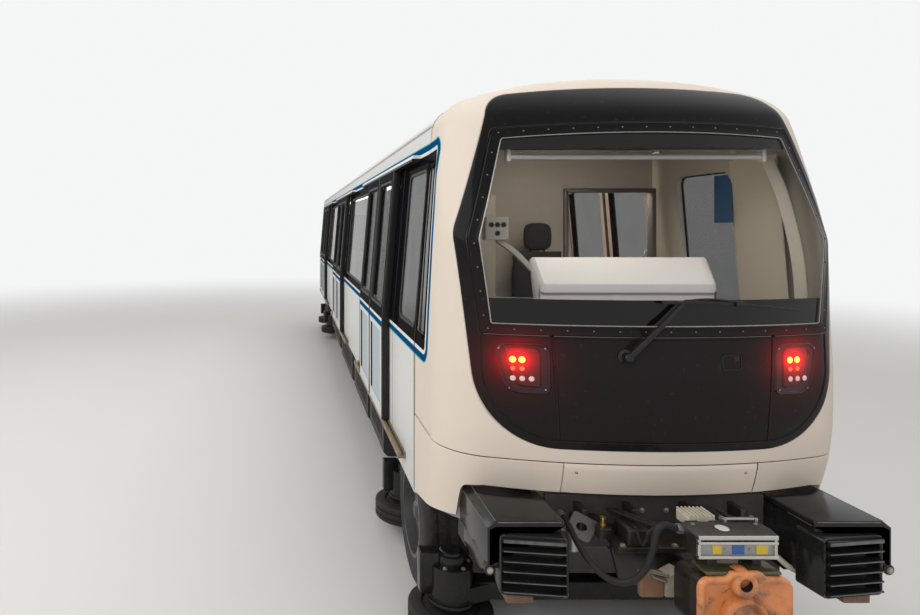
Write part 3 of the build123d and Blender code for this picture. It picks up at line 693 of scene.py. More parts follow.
def body_paint(name, ground, dirt):
    """Striped paint outside and the plain lining colour inside, with a faint orange-peel."""
    shader = Shader(name, coat_roughness=0.06, specular=0.0)
    colour, worn, band, black = striped(shader, ground, dirt)
    lining = 1 - shader.facing().beyond(-0.02, 0.01)
    colour = shader.mix(lining, colour, LINING)
    rough = 0.26 + worn * 0.5 + lining * 0.3 - band * 0.14
    return shader.feed(base_color=colour, roughness=rough, coat_weight=(1 - band) * 0.2 + black * 0.05,
        normal=shader.bump(shader.noise(6.0, 2, 0.5), 0.06, 0.004))


def leaf_paint(name):
    """Door leaf: striped white paint, a cooler lower panel, black rubber on the upright edges, and a tinted pane.

    The pane is found by how deep it lies behind the leaf's outer face.
    """
    shader = Shader(name, coat_roughness=0.06, specular=0.0)
    colour, worn, band, black = striped(shader, WHITE, 0.5)
    x, _, z = shader.axes()
    panel = x.size().between(1.08, 1.094, 0.002) * z.between(1.085, 1.665, 0.002)
    colour = shader.mix(panel, colour, (0.44, 0.49, 0.52))
    along = shader.axes(shader.node("ShaderNodeNewGeometry", output="Normal"))[1]
    colour = shader.mix(along.size().beyond(0.85, 0.05), colour, (0.012, 0.012, 0.013))
    lining = 1 - shader.facing().beyond(-0.02, 0.01)
    colour = shader.mix(lining, colour, (0.56, 0.47, 0.41))
    deep = (HALF_WIDTH + LEAF_PROUD) - (z - WAIST).greatest(0.0) * LEAN - x.size()
    pane = (deep.between(*PANE_DEPTH, 0.0008) * z.between(WINDOW_LOW + 0.0008, WINDOW_HIGH - 0.0008, 0.0004)
        * shader.facing().size().beyond(0.8, 0.1))
    colour = shader.mix(pane, colour, (0.008, 0.009, 0.01))
    gloss = (0.28 + worn * 0.5 - band * 0.12) * (1 - pane) + pane * 0.03
    return shader.feed(base_color=colour, roughness=gloss, alpha=1 - pane * 0.42,
        coat_weight=(1 - band) * 0.15 + black * 0.05 + pane * 0.45,
        normal=shader.bump(shader.noise(5.0, 2, 0.5), 0.05, 0.004))


def speckled(name, colour, dark, rough=0.5, scale=40.0, amount=0.5, bump=0.2, **constants):
    """Plain finish with a fine mottle of a second colour, uneven gloss and a fine grain."""
    shader = Shader(name, **constants)
    mottle = shader.noise(scale, 5, 0.65)
    broad = shader.noise(scale * 0.12, 3, 0.5)
    tone = shader.mix(mottle * broad * amount * 2, colour, dark)
    return shader.feed(base_color=tone, roughness=rough + (mottle - 0.5) * 0.25,
        normal=shader.bump(mottle, bump, 0.0015))


def rail_finish(name):
    """Tan worn metal on the rails under the doors; the headers over them are black and carry on the stripes."""
    shader = Shader(name, metallic=0.2, specular=0.3)
    grain = shader.noise(25, 5, 0.65)
    tan = shader.mix(grain * 0.8, (0.3, 0.23, 0.15), (0.09, 0.06, 0.04))
    z = shader.axes()[2]
    colour = shader.mix(z.beyond(2.0, 0.1), tan, (0.01, 0.01, 0.011))
    colour = shader.mix(z.beyond(BAND_HIGH - WHITE_END), colour, LINE_WHITE)
    colour = shader.mix(z.beyond(BAND_HIGH - BLUE_END), colour, DEEP_BLUE)
    return shader.feed(base_color=colour, roughness=0.35 + grain * 0.3, normal=shader.bump(grain, 0.2, 0.0015))


def glass(name, tint, alpha, low=None, high=None, behind=None):
    """Thin tinted glass with a faint uneven haze, printed black below one height, above another and ahead of a place.
    """
    shader = Shader(name, roughness=0.03, ior=1.5, specular=0.28)
    cover = shader.noise(2.5, 3, 0.5) * 0.05 + alpha
    _, y, z = shader.axes()
    if behind:
        cover = cover.greatest(1 - y.beyond(at(behind)))
    if low:
        cover = cover.greatest(1 - z.beyond(low)).greatest(z.beyond(high) * 0.965)
    return shader.feed(base_color=tint, alpha=cover)


LAMP_X, LAMP_Z = 0.67, 1.78
LED_COLUMNS = (-0.042, 0.0, 0.042)
LIT_Z, DIM_Z, CLEAR_Z = 1.829, 1.786, 1.738


def red_glow(shader, reach):
    """Red light round each lamp: one over one plus the squared distance from the lit pair, squared again."""
    x, _, z = shader.axes()
    up, falls = z - LIT_Z, []
    for side in (-1, 1):
        across = (x - (side * LAMP_X - 0.021)) * 0.85
        fall = 1 / ((across * across + up * up) * (1 / reach ** 2) + 1)
        falls.append(fall * fall)
    return shader.mix(falls[0].greatest(falls[1]), (0.0, 0.0, 0.0), (1.0, 0.004, 0.004))


def lamp_glow(name, tint, strength, reach, **constants):
    """Dark plastic lit red round each lamp."""
    shader = Shader(name, emission_strength=strength, roughness=0.15, **constants)
    grain = shader.noise(60, 3, 0.6)
    return shader.feed(base_color=shader.mix(grain * 0.5, tint, (0.02, 0.02, 0.02)),
        emission_color=red_glow(shader, reach))


def wet_black(name):
    """Black gloss moulding: nearly a mirror, with dried drops, wiping marks and painted shade on its top, lit red round
    the lamps.
    """
    shader = Shader(name, specular=0.09, emission_strength=2.0)
    drops = shader.noise(34, 4, 0.7).beyond(0.66, 0.05)
    wipes = shader.noise(5, 4, 0.6, (1, 1, 0.25))
    # Painted shade: the base colour is darker above about 2.3 m, so the top of the moulding reads darker.
    below_shaded_top = 1 - shader.axes()[2].beyond(2.3, 0.6)
    top_shaded_black = shader.mix(below_shaded_top, (0.004, 0.004, 0.0045), (0.0125, 0.0115, 0.0115))
    colour = shader.mix(wipes * 0.4, top_shaded_black, (0.014, 0.011, 0.011))
    colour = shader.mix(drops * 0.35, colour, (0.045, 0.042, 0.04))
    return shader.feed(base_color=colour, roughness=0.06 + wipes * 0.05 + drops * 0.25,
        emission_color=red_glow(shader, 0.058))


def greased_casting(name):
    """Orange-brown painted casting under grease: dark oily patches, paint worn to rust, and a wet gloss."""
    shader = Shader(name, coat_roughness=0.15)
    patch, grain = shader.noise(9, 5, 0.6), shader.noise(70, 5, 0.7)
    rust = shader.mix(grain, (0.5, 0.155, 0.042), (0.66, 0.25, 0.085))
    oil = patch.beyond(0.55, 0.1)
    colour = shader.mix(oil * 0.75, rust, (0.08, 0.038, 0.018))
    colour = shader.mix(shader.noise(28, 4, 0.6).beyond(0.66, 0.04) * 0.8, colour, (0.02, 0.017, 0.012))
    return shader.feed(base_color=colour, roughness=0.34 - oil * 0.16 + grain * 0.1, coat_weight=0.5 + oil * 0.3,
        normal=shader.bump(grain + patch, 0.45, 0.002))


def glowing(name, colour, strength, spread):
    """Lit plastic, clouded a little with a warmer white."""
    shader = Shader(name, emission_strength=strength, roughness=0.3)
    cloud = shader.noise(20, 2, 0.5)
    return shader.feed(base_color=colour, emission_color=shader.mix(cloud * spread, colour, (1.0, 0.9, 0.7)))


ivory = body_paint("ivory_moulding", IVORY, 0.1)
white = body_paint("white_side", WHITE, 0.55)
door_white = leaf_paint("door_leaf_paint")
black_gloss = wet_black("black_gloss_mask")
rubber = speckled("black_rubber", (0.01, 0.01, 0.011), (0.035, 0.033, 0.031), 0.55, 60, specular=0.25)
bumper = speckled("bumper_black", (0.0045, 0.0045, 0.005), (0.03, 0.029, 0.028), 0.16, 110, 0.6, 0.08, specular=0.3)
dusty_black = speckled("dusty_black_steel", (0.014, 0.014, 0.015), (0.09, 0.08, 0.068), 0.6, 14, 0.7, 0.3,
    specular=0.3)
# Oily black steel for the parts under the apron, kept near black partly as painted shade for the apron's shadow.
oily_shaded_black = speckled("oily_shaded_black_steel", (0.005, 0.005, 0.005), (0.05, 0.038, 0.026), 0.32, 22, 0.6, 0.4,
    specular=0.4)
aluminium = speckled("worn_aluminium", (0.6, 0.59, 0.56), (0.3, 0.27, 0.22), 0.26, 24, 0.35, 0.04, metallic=0.9)
dull_trim = speckled("dull_trim", (0.2, 0.19, 0.19), (0.07, 0.06, 0.06), 0.35, 30, 0.5, 0.05, metallic=0.7)
dark_trim = speckled("dark_trim", (0.035, 0.034, 0.034), (0.012, 0.012, 0.012), 0.35, 30, 0.5, 0.05, metallic=0.5,
    specular=0.3)
rail_metal = rail_finish("door_rail_metal")
tyre_rubber = speckled("tyre_rubber", (0.008, 0.008, 0.008), (0.034, 0.03, 0.026), 0.6, 30, 0.7, 0.4, specular=0.3)
rim_paint = speckled("rim_paint", (0.06, 0.06, 0.062), (0.018, 0.016, 0.015), 0.32, 18, 0.8, 0.2)
lining = speckled("lining_panel", LINING, (0.3, 0.29, 0.25), 0.5, 20, 0.3, 0.05)
console_skin = speckled("console_skin", (0.92, 0.9, 0.86), (0.82, 0.8, 0.76), 0.42, 60, 0.3, 0.15)
floor_cover = speckled("floor_cover", (0.16, 0.16, 0.18), (0.3, 0.3, 0.3), 0.6, 160, 0.8, 0.1)
seat_plastic = speckled("seat_shell", (0.02, 0.07, 0.17), (0.05, 0.12, 0.22), 0.45, 90, 0.4, 0.2)
pole_steel = speckled("brushed_pole", (0.62, 0.62, 0.6), (0.45, 0.45, 0.44), 0.28, 90, 0.3, 0.05, metallic=1.0)
casting = greased_casting("greased_casting")
grease = speckled("dark_green_grease", (0.02, 0.024, 0.01), (0.075, 0.07, 0.03), 0.18, 60, 0.9, 0.6, coat_weight=0.5)
zinc = speckled("zinc_steel", (0.48, 0.47, 0.44), (0.18, 0.15, 0.12), 0.36, 45, 0.7, 0.2, metallic=0.8)
brown_bar = speckled("rusty_bar", (0.22, 0.11, 0.06), (0.06, 0.04, 0.03), 0.6, 30, 0.8, 0.4)
cream_strut = speckled("cream_strut", (0.55, 0.5, 0.4), (0.25, 0.2, 0.14), 0.5, 25, 0.6, 0.2)
# Painted highlight: grey mottled to black, laid on the anti-climbers' edges where they catch light.
edge_highlight = speckled("painted_edge_highlight", (0.2, 0.2, 0.2), (0.02, 0.02, 0.02), 0.35, 30, 1.0, 0.05, metallic=0.4)
silver_face = speckled("silver_contact_face", (0.34, 0.34, 0.34), (0.16, 0.16, 0.15), 0.35, 60, 0.6, 0.1,
    metallic=0.6)
pale_cast = speckled("pale_cast_iron", (0.34, 0.3, 0.24), (0.1, 0.08, 0.05), 0.6, 45, 0.8, 0.6)
brass = speckled("valve_brass", (0.6, 0.42, 0.14), (0.25, 0.15, 0.05), 0.3, 40, 0.6, 0.1, metallic=0.9)
yellow_plate = speckled("yellow_blank_plate", (0.62, 0.42, 0.03), (0.35, 0.22, 0.03), 0.4, 50, 0.4, 0.05)
blue_plate = speckled("blue_blank_plate", (0.02, 0.1, 0.36), (0.02, 0.05, 0.16), 0.4, 50, 0.4, 0.05)
white_plate = speckled("white_blank_disc", (0.62, 0.62, 0.6), (0.4, 0.38, 0.34), 0.4, 50, 0.4, 0.05)
screen_glass = glass("windscreen_glass", (0.004, 0.004, 0.004), 0.1, 2.125, 2.872)
window_glass = glass("saloon_glass", (0.008, 0.009, 0.01), 0.6, behind=0.86)
blue_panel = speckled("blue_blind", (0.02, 0.1, 0.24), (0.015, 0.06, 0.15), 0.6, 30, 0.4, 0.1)
light_strip = glowing("saloon_light", (1.0, 0.84, 0.7), 14.0, 0.2)
desk_light = glowing("desk_light", (1.0, 0.93, 0.84), 6.5, 0.2)
cream_panel = speckled("cream_side_panel", (0.62, 0.57, 0.47), (0.5, 0.46, 0.38), 0.5, 20, 0.3, 0.05)
tail_lens = speckled("tail_lens", (0.26, 0.008, 0.007), (0.14, 0.005, 0.004), 0.14, 60, 0.4, 0.05, coat_weight=0.6)
lit_lens = glowing("lit_lens", (1.0, 0.56, 0.05), 1.25, 0.25)
dim_lens = glowing("dim_lens", (1.0, 0.1, 0.03), 0.65, 0.2)
clear_lens = glowing("clear_lens", (0.6, 0.34, 0.33), 0.35, 0.4)
lamp_panel = lamp_glow("lamp_panel", (0.03, 0.008, 0.008), 3.0, 0.048, specular=0.3)
lamp_surround = lamp_glow("lamp_surround", (0.007, 0.005, 0.005), 2.0, 0.048, specular=0.3)


# ---- front moulding ----

# Where the moulding starts to ease into the body section, and how far it has done so at its rear seam
SETTLE_FROM, SETTLED = 0.42, 0.85
SHELL_THICK = 0.012
# Start and end of the hole for the cab's side window, behind the nose
CAB_WINDOW = (0.61, 0.8)
PLAN_STEPS = np.unique(np.concatenate((np.linspace(0, 1, 22), np.linspace(1, 2, 22), np.linspace(2, 3, 10))))


def cab_shell():
    """Skin from the mask out to the body section, then back along the sides and roof to the rear seam.

    The section starts fuller than the body's and eases into it.
    """
    half = section_side(APRON_SEAM + 0.004)
    full = half + np.column_stack((swell(half[:, 1]), np.zeros(len(half))))
    upper, plain = mirrored_run(full), mirrored_run(half)
    foot = HALF_WIDTH * np.sin(np.linspace(-math.pi / 2, math.pi / 2, 52)[1:-1])
    outer = np.concatenate((upper, np.column_stack((foot, np.full(len(foot), APRON_SEAM + 0.004)))))
    angles = np.arctan2(*(outer - EYE).T[::-1])
    inner = by_angle(inset(MASK, -0.002), angles)
    share = np.sin(np.linspace(0, math.pi / 2, 30))[:, None, None]
    form = Form().grid(on_front(inner + (outer - inner) * share), close_columns=True)
    edge = on_front(upper)
    back = [edge]
    for k, level in enumerate((0.4, 0.46, 0.53, 0.61, 0.69, 0.8, SHELL_REAR)):
        row = edge.copy()
        row[:, 1] = np.maximum(at(level), edge[:, 1] + 0.01 * (k + 1)) if level < SHELL_REAR else at(level)
        settle = np.clip((level - SETTLE_FROM) / (SHELL_REAR - SETTLE_FROM), 0, 1)
        settle = settle * settle * (3 - 2 * settle) * SETTLED
        row[:, 0] = upper[:, 0] + (plain[:, 0] - upper[:, 0]) * settle
        back.append(row)
    back = np.array(back)
    heights = (back[:-1, :-1, 2] + back[1:, 1:, 2]) / 2
    places = (back[:-1, :-1, 1] + back[1:, 1:, 1]) / 2 - NOSE
    window = (heights > WINDOW_LOW) & (heights < WINDOW_HIGH) & (places > CAB_WINDOW[0]) & (places < CAB_WINDOW[1])
    form.grid(back, keep=~window)
    skin = piece("cab_shell_skin", form, ivory, stands_for="cab_shell")
    wall = skin.modifiers.new("wall", "SOLIDIFY")
    wall.thickness, wall.offset = SHELL_THICK, -1
    return skin


# Half width of the gap between the wings, and the cover's foot
COVER_HALF, COVER_FOOT = 0.4735, 1.168


def apron():
    """Skin below the seam: the plan curve at each height from a cut lower edge up to the seam, turned back inside."""
    start = np.arcsin(COVER_HALF / FRONT_RADIUS)
    start /= np.arcsin((HALF_WIDTH - CORNER_RADIUS) / (FRONT_RADIUS - CORNER_RADIUS))
    p = np.unique(np.concatenate((np.linspace(start, 1, 12), np.linspace(1, 1.22, 5), np.linspace(1.22, 1.36, 14),
        np.linspace(1.36, 2, 10), np.linspace(2, 3, 8))))
    place = plan_curve(p, 1.1)[:, 1] - NOSE
    skirt = np.interp(place, (0.0, 0.25, SHELL_REAR), (1.02, 0.965, 0.862))
    cut = np.interp(p, (start, 1.0, 1.24, 1.27, 1.295, 1.31), (COVER_FOOT, 1.172, 1.156, 1.146, 1.12, 1.06))
    low = np.where(p < 1.315, cut, skirt)
    rows = [plan_curve(p, low + up, -deep) for up, deep in ((0.004, 0.03), (0.004, 0.012), (0.0, 0.004))]
    rows += [plan_curve(p, (low + 0.003) * (1 - s) + (APRON_SEAM - 0.006) * s) for s in np.linspace(0, 1, 9)]
    rows += [plan_curve(p, APRON_SEAM - 0.003, -deep) for deep in (0.003, 0.02)]
    wing = Form().grid(rows)
    piece("apron_wing_skins", wing.both(), ivory, stands_for="apron_wings")

    x = np.concatenate(([-0.47], np.linspace(-0.467, 0.467, 30), [0.47]))
    bottom = COVER_FOOT + 0.003 * np.abs(x)
    cover = [(bottom + 0.006, -0.035)]
    cover += [(bottom * (1 - s) + (APRON_SEAM - 0.003) * s, proud)
        for s, proud in ((0.0, -0.004), (0.02, 0.0), (0.2, 0.001), (0.5, 0.0015), (0.8, 0.001), (0.97, 0.0),
            (1.0, -0.003), (1.0, -0.02))]
    edge = np.where(np.abs(x) > 0.4699, -0.012, 0.0)
    rows = [on_front(np.column_stack((x, z)), proud + edge) for z, proud in cover]
    piece("coupler_cover_skin", Form().grid(rows), ivory, stands_for="coupler_cover")
    screws = Form().add(*(bolt((side, float(front_y(side, 1.285)), 1.285), "y", 0.006, 0.004, -1)
        for side in (-0.41, 0.41)))
    piece("coupler_cover_screws", screws, zinc)

    seam = np.array([plan_curve(PLAN_STEPS, APRON_SEAM + z, -q)
        for z, q in ((-0.012, 0.014), (-0.004, 0.009), (0.004, 0.009), (0.012, 0.014))])
    piece("apron_seam_seal", Form().grid(seam).both(), rubber)
    run = mirrored_run(section_side(0.87))
    shell_seam = np.array([np.column_stack((run[:, 0] * s, np.full(len(run), at(d)), run[:, 1] - (1 - s) * 0.5))
        for s, d in ((0.994, 0.832), (1.003, 0.838), (1.003, 0.843), (0.994, 0.848))])
    piece("shell_seam_seal", Form().grid(shell_seam), rubber)


def mask():
    """Black skin between the windscreen's gasket and the moulding, with a raised rounded rim."""
    piece("mask_skin", nested(stepped(FRAME, (0.012, 0.0), (-0.002, 0.003), (-0.006, 0.006))
        + stepped(MASK, (0.01, 0.006), (0.003, 0.0045), (0, 0.001), (0, -0.006)), between=7), black_gloss,
        stands_for="cab_mask")


# ---- windscreen ----


def windscreen():
    """Gasket frame with studs, an inner lip bright as a painted highlight, and the bowed pane in rings drawn in to its
    middle.
    """
    piece("windscreen_gasket", nested(stepped(FRAME, (0.001, -0.004), (0.001, 0.011), (0.004, 0.014), (0.01, 0.0125))
        + stepped(GLASS, (-0.014, 0.0125), (-0.006, 0.015), (-0.002, 0.013), (0, 0.002)), between=2), black_gloss,
        stands_for="windscreen_frame")
    studs = along_outline(inset(FRAME, 0.025), 0.118)
    piece("windscreen_studs", front_studs(studs, 0.0042, 0.0026, 0.0123), dull_trim)
    # Painted highlight: the lip round the pane is bright zinc, standing in for light caught on the gasket's inner edge.
    lip = nested(stepped(GLASS, (-0.001, 0.0135), (0.001, 0.015), (0.0035, 0.0135), (0.004, 0.004)))
    piece("windscreen_lip_highlight", lip, zinc)
    rim = front_bead(inset(FRAME, -0.004), ((-0.0022, 0.006), (-0.001, 0.0085), (0.001, 0.0085), (0.0022, 0.006)),
        True)
    piece("windscreen_outer_trim", rim, dark_trim)
    edge = inset(GLASS, 0.004)
    piece("windscreen_pane", nested(((edge, 0.004), (shrunk(edge, 0.5), 0.004), (shrunk(edge, 0.02), 0.004)),
        close=True, between=12), screen_glass, stands_for="windscreen")
    line = divided(((-0.795, 2.129), (-0.25, 2.129)), 20)
    piece("windscreen_print_line", front_bead(line, ((-0.0008, 0.0045), (0.0008, 0.0045))), zinc)


GROOVE = ((-0.0045, 0.0055), (-0.003, 0.0088), (-0.0016, 0.0075), (-0.0012, 0.001), (0.0012, 0.001),
    (0.0016, 0.0075), (0.003, 0.0088), (0.0045, 0.0055))


# Left, right, foot and head of the hatch's sunk hand grip, and how gently its sides slope
GRIP, GRIP_SLOPE = (0.266, 0.358, 1.794, 1.861), 0.01


def hatch_half(z):
    """Half width of the hatch at a height: it widens evenly upwards."""
    return 0.5 + 0.03 * (z - 1.444) / 0.494


def front_hatch():
    """Panel on a grid of width share and height, its skin sunk smoothly where the hand grip is."""
    left, right, foot, head = GRIP
    near = lambda edge: np.linspace(edge - 0.006, edge + 0.006, 6)
    share = np.unique(np.concatenate((np.linspace(-1, 1, 41), [-0.998, 0.998], near(left) / 0.52,
        near(right) / 0.52)))
    z = np.unique(np.concatenate((np.linspace(1.447, 1.935, 30), [1.4485, 1.9335], near(foot), near(head))))
    flat = np.stack((share[None] * (hatch_half(z)[:, None] - 0.003), np.repeat(z[:, None], len(share), 1)), -1)
    ramp = lambda value, low, high: (np.clip((value - low) / GRIP_SLOPE + 0.5, 0, 1)
        * np.clip((high - value) / GRIP_SLOPE + 0.5, 0, 1))
    sunk = ramp(flat[..., 0], left, right) * ramp(flat[..., 1], foot, head)
    rim = np.minimum(np.minimum(1 - np.abs(share)[None], (z - z[0])[:, None] + 0 * share[None]),
        (z[-1] - z)[:, None] + 0 * share[None])
    proud = 0.0085 - 0.022 * sunk - 0.0035 * (rim <= 1e-9)
    rows = on_front(flat, proud)
    form = Form().grid(rows)
    border = np.concatenate((flat[0], flat[1:, -1], flat[-1, -2::-1], flat[-2:0:-1, 0]))
    form.grid((on_front(border, 0.005), on_front(border, -0.004)), close_columns=True)
    piece("front_hatch_panel", form, black_gloss, stands_for="front_hatch", angle=50)
    pull = slab(rectangle(0.272, 0.352, 1.832, 1.856, 0.006), float(front_y(0.31, 1.84)) - 0.004,
        float(front_y(0.31, 1.84)) + 0.01, "y", 0.002)
    piece("hatch_grip_lever", pull, rubber)


def mask_seams():
    """Fine raised-lip grooves round the hatch and round each lamp panel."""
    low = inset(MASK, 0.04)
    low = low[(low[:, 0] > 0.5) & (low[:, 1] < 1.935)]
    low = low[np.argsort(low[:, 1])]
    start, top = hatch_half(1.444), 1.944
    panel = np.concatenate(([(start + 0.004, low[0, 1])], low, [(np.interp(top, low[:, 1], low[:, 0]), top)],
        [(hatch_half(top) + 0.004, top)]))
    panel = np.concatenate((divided(panel, 4), divided(((hatch_half(top) + 0.004, top), panel[0]), 12)))
    keep = np.concatenate(([True], np.hypot(*np.diff(panel, axis=0).T) > 1e-5))
    form = front_bead(panel[keep], GROOVE, True).both()
    for x, z in ((0.5, 1.443), (0.535, 1.941)):
        form.add(front_bead(divided(((-x, z), (x, z)), 30), GROOVE))
    grip = rectangle(0.264, 0.36, 1.792, 1.863, 0.012, 5)
    form.add(front_bead(grip, ((-0.003, 0.0075), (-0.0015, 0.0105), (0.0015, 0.0105), (0.003, 0.0075)), True))
    piece("mask_seam_lips", form, dark_trim)
    # Painted highlight: a pale bead along the top edge of the lamp panels and the hatch, where that edge catches light.
    edge = ((-0.002, 0.0085), (-0.001, 0.01), (0.001, 0.01), (0.002, 0.0085))
    sill_highlight = front_bead(divided(((0.548, 1.9475), (0.842, 1.9475)), 20), edge).both()
    sill_highlight.add(front_bead(divided(((-0.525, 1.9475), (0.525, 1.9475)), 30), edge))
    piece("mask_sill_painted_highlight", sill_highlight, dull_trim)


# ---- headlamps ----


def headlamps():
    """Each lamp: a lipped surround cut back at its outer lower corner, a lens panel, and three rows of round lights."""
    centre = (LAMP_X, LAMP_Z)
    surround = rounded(((0.548, 1.672), (0.74, 1.668), (0.79, 1.905), (0.548, 1.905)), (0.02, 0.085, 0.05, 0.05), 10)
    lens = rounded(((0.59, 1.7), (0.7, 1.705), (0.75, 1.885), (0.59, 1.885)), (0.012, 0.055, 0.03, 0.03), 10)
    rings = nested(stepped(surround, (-0.008, 0.005), (-0.003, 0.0115), (0, 0.013), (0.004, 0.0115), (0.007, 0.008))
        + stepped(lens, (-0.006, 0.006), (-0.002, 0.01), (0, 0.0105), (0.002, 0.007)), centre=centre, spread=96,
        between=2)
    piece("headlamp_surrounds", rings.both(), lamp_surround, stands_for="headlamp_housings")
    panel = nested(((inset(lens, 0.001), 0.0075), (shrunk(lens, 0.5, centre), 0.0085),
        (shrunk(lens, 0.05, centre), 0.009)), centre=centre, close=True, spread=96, between=3)
    piece("headlamp_panels", panel.both(), lamp_panel, stands_for="headlamp_lenses")
    for name, material, radius, z, count in (("lit", lit_lens, 0.0165, LIT_Z, 2),
            ("dim", dim_lens, 0.0115, DIM_Z, 2), ("clear", clear_lens, 0.0135, CLEAR_Z, 3)):
        places = [(side * LAMP_X + c, z) for side in (-1, 1) for c in LED_COLUMNS[:count]]
        piece(f"headlamp_{name}_lights", front_studs(places, radius, 0.005, 0.009), material)
    screws = [(side * x, z) for side in (-1, 1) for x, z in ((0.565, 1.688), (0.775, 1.88), (0.565, 1.886),
        (0.728, 1.69))]
    piece("headlamp_screws", front_studs(screws, 0.0045, 0.0025, 0.0105), zinc)


# ---- wiper ----


def wiper():
    """Pivot cap, a bent tapering arm, an upper link to the blade's middle and a blade that follows the glass."""
    pivot_x, pivot_z = -0.205, 1.858
    base = float(front_y(pivot_x, pivot_z))
    cap = lathe(((0.004, 0), (0.004, 0.034), (-0.01, 0.034), (-0.014, 0.03), (-0.02, 0.022), (-0.05, 0.021),
        (-0.056, 0.016), (-0.057, 0)), (pivot_x, base, pivot_z), "y", 28)
    y = base - 0.046
    arm_path = divided(((pivot_x - 0.012, y, pivot_z - 0.01), (-0.06, y - 0.004, 2.002), (0.062, y + 0.01, 2.122),
        (0.078, y + 0.012, 2.128)), 8)
    arm = carried(rectangle(-0.011, 0.011, -0.006, 0.006, 0.003, 3), arm_path, (0, -1, 0),
        np.linspace(1.35, 0.55, len(arm_path)))
    link_y = y + 0.012
    link = tube(eased(((0.07, link_y, 2.126), (0.16, link_y - 0.002, 2.134), (0.262, link_y + 0.006, 2.128),
        (0.33, link_y + 0.014, 2.114)), 6), 0.0048, 8)
    flat = eased(((-0.045, 2.118), (0.15, 2.118), (0.33, 2.109), (0.5, 2.094), (0.66, 2.073)), 12)
    back = on_front(flat, 0.034)
    blade = carried(rectangle(-0.007, 0.007, -0.006, 0.006, 0.003, 3), back, (0, -1, 0))
    edge = on_front(flat - (0, 0.004), 0.024)
    blade.add(carried(((-0.0025, -0.01), (0.0025, -0.01), (0.0045, 0.004), (-0.0045, 0.004)), edge, (0, -1, 0)))
    middle = on_front(np.array((0.33, 2.11)), 0.045)
    saddle = box(middle[0] - 0.022, middle[0] + 0.018, middle[1] - 0.01 - NOSE, middle[1] + 0.014 - NOSE,
        middle[2] - 0.012, middle[2] + 0.014, 0.003)
    spring = tube(((-0.125, y - 0.01, 1.948), (-0.04, y - 0.008, 2.03)), 0.006, 10)
    whole = cap.add(arm, link, blade, saddle, spring)
    piece("wiper_arm_and_blade", whole, bumper, stands_for="wiper")


# ---- anti-climbers ----

CLIMBER_X, CLIMBER_FACE, CLIMBER_TURN = 0.71, -0.17, 7.0
RIB_LOW, RIB_PITCH = 0.842, 0.0455


